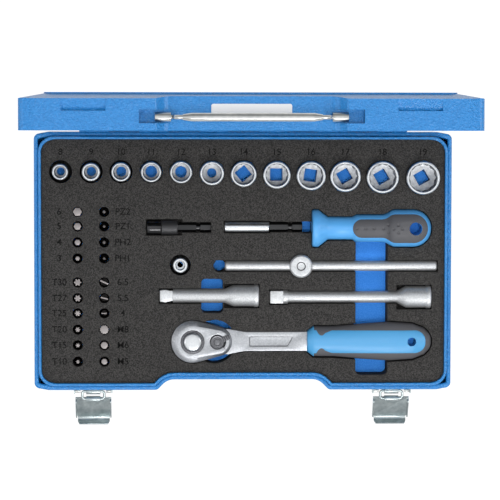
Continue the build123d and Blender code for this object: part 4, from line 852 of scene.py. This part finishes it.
def step_face(piece, choose, steps):
    """Steps one chosen face of a piece inwards and upwards; steps are (inward, upward) in millimetres."""
    start_edit(piece)
    bpy.ops.mesh.select_all(action="DESELECT")
    end_edit()
    choose(piece.data.polygons).select = True
    bpy.ops.object.mode_set(mode="EDIT")
    for inward, upward in steps:
        bpy.ops.mesh.inset(thickness=inward * MM, depth=upward * MM)
    end_edit()


def dome_steps():
    """The rings of the dome, from its edge to near its middle."""
    for ring in range(DOME_RINGS):
        start, stop = (math.radians(DOME_TURN * step / DOME_RINGS) for step in (ring, ring + 1))
        inward = DOME_RADIUS * (math.cos(start) - math.cos(stop))
        upward = DOME_RISE * (math.sin(stop) - math.sin(start))
        yield inward, upward


polished = plated_finish(
    "polished_chrome", dark=(0.58, 0.59, 0.60), pale=(0.66, 0.67, 0.68), roughness=0.3
)
button = merged_copy("ratchet_button", "ratchet_button_made")
step_face(button, lambda faces: max(faces, key=lambda face: face.center.z), dome_steps())
soften(button, BUTTON_EDGE, BUTTON_ANGLE)
seat(button, polished, "ratchet_button")


# Reversing lever: phosphated steel on the pawl's pin, pressed with rings round its middle.
# Its thumb has three grooves across it; the grooves and the sides of the thumb are painted dark, a painted
# shade.
LEVER_TURN = math.radians(24.0)
LEVER_X = -20.1
LEVER_GROOVES = (6.5, 8.1, 9.7)
GROOVE_SIZE = (0.75 * MM, 6.0 * MM, 1.6 * MM)
THUMB_FROM = 5.6 * MM
THUMB_TOP = 0.25 * MM
LEVER_RINGS = ((0.9, -0.35), (0.25, 0.0), (0.2, 0.35), (0.55, 0.0), (0.2, -0.35), (0.25, 0.0), (0.2, 0.35))
LEVER_EDGE = 0.06 * MM
LEVEL_REACH = 0.01 * MM
lever_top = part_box("ratchet_lever")[1].z


def lever_disc(faces):
    """The round flat on top of the lever."""
    level = [face for face in faces if lever_top - face.center.z < LEVEL_REACH]
    return max(level, key=lambda face: face.area)


lever_steel = plated_finish(
    "lever_steel", dark=(0.13, 0.13, 0.14), pale=(0.20, 0.20, 0.21), roughness=0.36
)
lever = merged_copy("ratchet_lever", "ratchet_lever_made")
grooves = []
for away in LEVER_GROOVES:
    x = LEVER_X + away * math.cos(LEVER_TURN)
    y = RATCHET_Y + away * math.sin(LEVER_TURN)
    bpy.ops.mesh.primitive_cube_add(
        size=1, location=(x * MM, y * MM, lever_top), rotation=(0, 0, LEVER_TURN), scale=GROOVE_SIZE
    )
    grooves.append(bpy.context.object)
cutter = join_all(grooves)
carve(lever, cutter, "DIFFERENCE")
bpy.data.objects.remove(cutter)
step_face(lever, lever_disc, LEVER_RINGS)
soften(lever, LEVER_EDGE)
seat(lever, lever_steel, "ratchet_lever")
# Painted shade: the lever's grooves and the sides of its thumb get the dark steel finish.
lever.data.materials.append(dark_steel_and_groove_shade)
for face in lever.data.polygons:
    away = math.hypot(face.center.x - LEVER_X * MM, face.center.y - RATCHET_Y * MM)
    if away > THUMB_FROM and lever_top - face.center.z > THUMB_TOP:
        face.material_index = 1


# Ratchet grip: grey rubber moulded round the tang, with a hard blue inlay let into it and lining its eye.
# Two cheeks of the rubber come up over the sides of the inlay and narrow its neck.
INLAY_BLUE = (0.062, 0.275, 0.520)
GRIP_EYE_X = 130.5 * MM
GRIP_EYE_RADIUS = 3.9 * MM
GRIP_EDGE = 0.35 * MM
CHEEK = ((55.2, 13.5), (56.2, 9.6), (57.8, 6.8), (59.4, 5.2), (60.9, 4.9))
CHEEK += ((62.4, 5.7), (63.9, 7.3), (65.8, 8.5), (68.6, 8.95), (69.2, 13.5))
CHEEK_FROM = 34.2
CHEEK_TO = 45.0
CHEEK_EDGE = 0.1 * MM
inlay_blue = moulded_finish("blue_inlay", INLAY_BLUE, HARD_ROUGHNESS, HARD_DEPTH)
rubber = make("ratchet_grip", soft_grey, GRIP_EDGE)
rubber.data.materials.append(inlay_blue)
for face in rubber.data.polygons:
    if reach_from(rubber, face, GRIP_EYE_X, RATCHET_Y * MM) < GRIP_EYE_RADIUS:
        face.material_index = 1
wedges = prism("grip_cheeks_cutter", CHEEK, RATCHET_Y, CHEEK_FROM, CHEEK_TO)
cheeks = merged_copy("ratchet_inlay", "ratchet_grip_cheeks")
carve(cheeks, wedges, "INTERSECT")
inlay = merged_copy("ratchet_inlay", "ratchet_inlay_made")
carve(inlay, wedges, "DIFFERENCE")
bpy.data.objects.remove(wedges)
soften(inlay, GRIP_EDGE)
seat(inlay, inlay_blue, "ratchet_inlay")
soften(cheeks, CHEEK_EDGE)
add_on(cheeks, soft_grey, "ratchet")


# Floor: a plain white sheet under the case, for the picture only.
# It shows white to the camera and in the plating, and keeps a soft shadow.
FLOOR_SIZE = 40.0
PAPER_WHITE = (0.9, 0.9, 0.9)
FLOOR_GLOW = 1.08
GLOW_SHARE = 0.9
bpy.ops.mesh.primitive_plane_add(size=FLOOR_SIZE, location=(0, 0, 0))
floor = bpy.context.object
floor.name = "white_floor"
paper, tree, shader = new_finish("white_paper", PAPER_WHITE, roughness=0.9)
glow = tree.nodes.new("ShaderNodeEmission")
glow.inputs["Strength"].default_value = FLOOR_GLOW
mix = tree.nodes.new("ShaderNodeMixShader")
path = tree.nodes.new("ShaderNodeLightPath")
seen, seen_too, share = (tree.nodes.new("ShaderNodeMath") for step in range(3))
seen.operation = seen_too.operation = "MAXIMUM"
share.operation = "MULTIPLY"
share.inputs[1].default_value = GLOW_SHARE
link = tree.links.new
link(path.outputs["Is Camera Ray"], seen.inputs[0])
link(path.outputs["Is Glossy Ray"], seen.inputs[1])
link(seen.outputs[0], seen_too.inputs[0])
link(path.outputs["Is Transmission Ray"], seen_too.inputs[1])
link(seen_too.outputs[0], share.inputs[0])
link(share.outputs[0], mix.inputs["Fac"])
link(shader.outputs[0], mix.inputs[1])
link(glow.outputs[0], mix.inputs[2])
link(mix.outputs[0], tree.nodes["Material Output"].inputs["Surface"])
floor.data.materials.append(paper)


# Studio light: a pale dome, brightest overhead and brighter towards the front than the back.
# Soft boxes stand in front and on each side; one hangs overhead, which the plating doesn't mirror.
CASE_MIDDLE = Vector((0, 0, 0.03))
DOME_STOPS = [
    (0.0, (0.30, 0.31, 0.32)),
    (0.6, (0.44, 0.45, 0.46)),
    (0.88, (0.80, 0.82, 0.84)),
    (1.0, (1.25, 1.28, 1.30)),
]
DOME_LEAN = {"From Min": -0.7, "From Max": 0.7, "To Min": 1.35, "To Max": 0.8}


def soft_box(name, place, width, depth, watts):
    """Rectangular area lamp aimed at the case; returns its object."""
    lamp = bpy.data.lights.new(name, "AREA")
    lamp.shape = "RECTANGLE"
    lamp.size = width
    lamp.size_y = depth
    lamp.energy = watts
    holder = bpy.data.objects.new(name, lamp)
    holder.location = place
    holder.rotation_euler = (CASE_MIDDLE - Vector(place)).to_track_quat("-Z", "Y").to_euler()
    bpy.context.scene.collection.objects.link(holder)
    return holder


soft_box("front_box", (0.15, -1.2, 1.5), width=0.9, depth=0.4, watts=12)
soft_box("left_box", (-1.4, -0.1, 1.2), width=0.5, depth=1.2, watts=4)
soft_box("right_box", (1.3, 0.1, 1.1), width=0.4, depth=0.8, watts=5)
overhead = soft_box("overhead_box", (0.0, -0.1, 2.3), width=0.7, depth=0.7, watts=21)
overhead.visible_glossy = False
world = bpy.data.worlds.new("studio")
world.use_nodes = True
tree = world.node_tree
place = tree.nodes.new("ShaderNodeTexCoord")
split = tree.nodes.new("ShaderNodeSeparateXYZ")
tree.links.new(place.outputs["Generated"], split.inputs[0])
dome = add_ramp(tree, split.outputs["Z"], DOME_STOPS)
lean = tree.nodes.new("ShaderNodeMapRange")
for socket, value in DOME_LEAN.items():
    lean.inputs[socket].default_value = value
tree.links.new(split.outputs["Y"], lean.inputs["Value"])
leaned = tree.nodes.new("ShaderNodeVectorMath")
leaned.operation = "SCALE"
tree.links.new(dome, leaned.inputs[0])
tree.links.new(lean.outputs["Result"], leaned.inputs["Scale"])
tree.links.new(leaned.outputs[0], tree.nodes["Background"].inputs["Color"])
tree.nodes["Background"].inputs["Strength"].default_value = 1.0
bpy.context.scene.world = world


# Camera: almost straight above the case, tipped a few degrees from a point over the lid.
# Its place and its focal length come from a fit to the places of the tools in the photograph.
FRAME_PIXELS = 500
FOCAL_PIXELS = 2484.55
SENSOR_WIDTH = 36.0
CAMERA_PLACE = Vector((-0.0569, 0.1218, 1.9502))
CAMERA_AIM = Vector((0.00521, 0.00876, 0.033))
CAMERA_ROLL = 0.0015
view = bpy.data.cameras.new("photo_camera")
view.sensor_fit = "HORIZONTAL"
view.sensor_width = SENSOR_WIDTH
view.lens = SENSOR_WIDTH * FOCAL_PIXELS / FRAME_PIXELS
camera = bpy.data.objects.new("photo_camera", view)
forward = (CAMERA_AIM - CAMERA_PLACE).normalized()
right = forward.cross(Vector((0, 1, 0))).normalized()
up = right.cross(forward)
turned = Matrix((right, up, -forward)).transposed().to_4x4()
camera.matrix_world = Matrix.Translation(CAMERA_PLACE) @ turned @ Matrix.Rotation(CAMERA_ROLL, 4, "Z")
bpy.context.scene.collection.objects.link(camera)
bpy.context.scene.camera = camera
bpy.context.scene.view_settings.view_transform = "Standard"
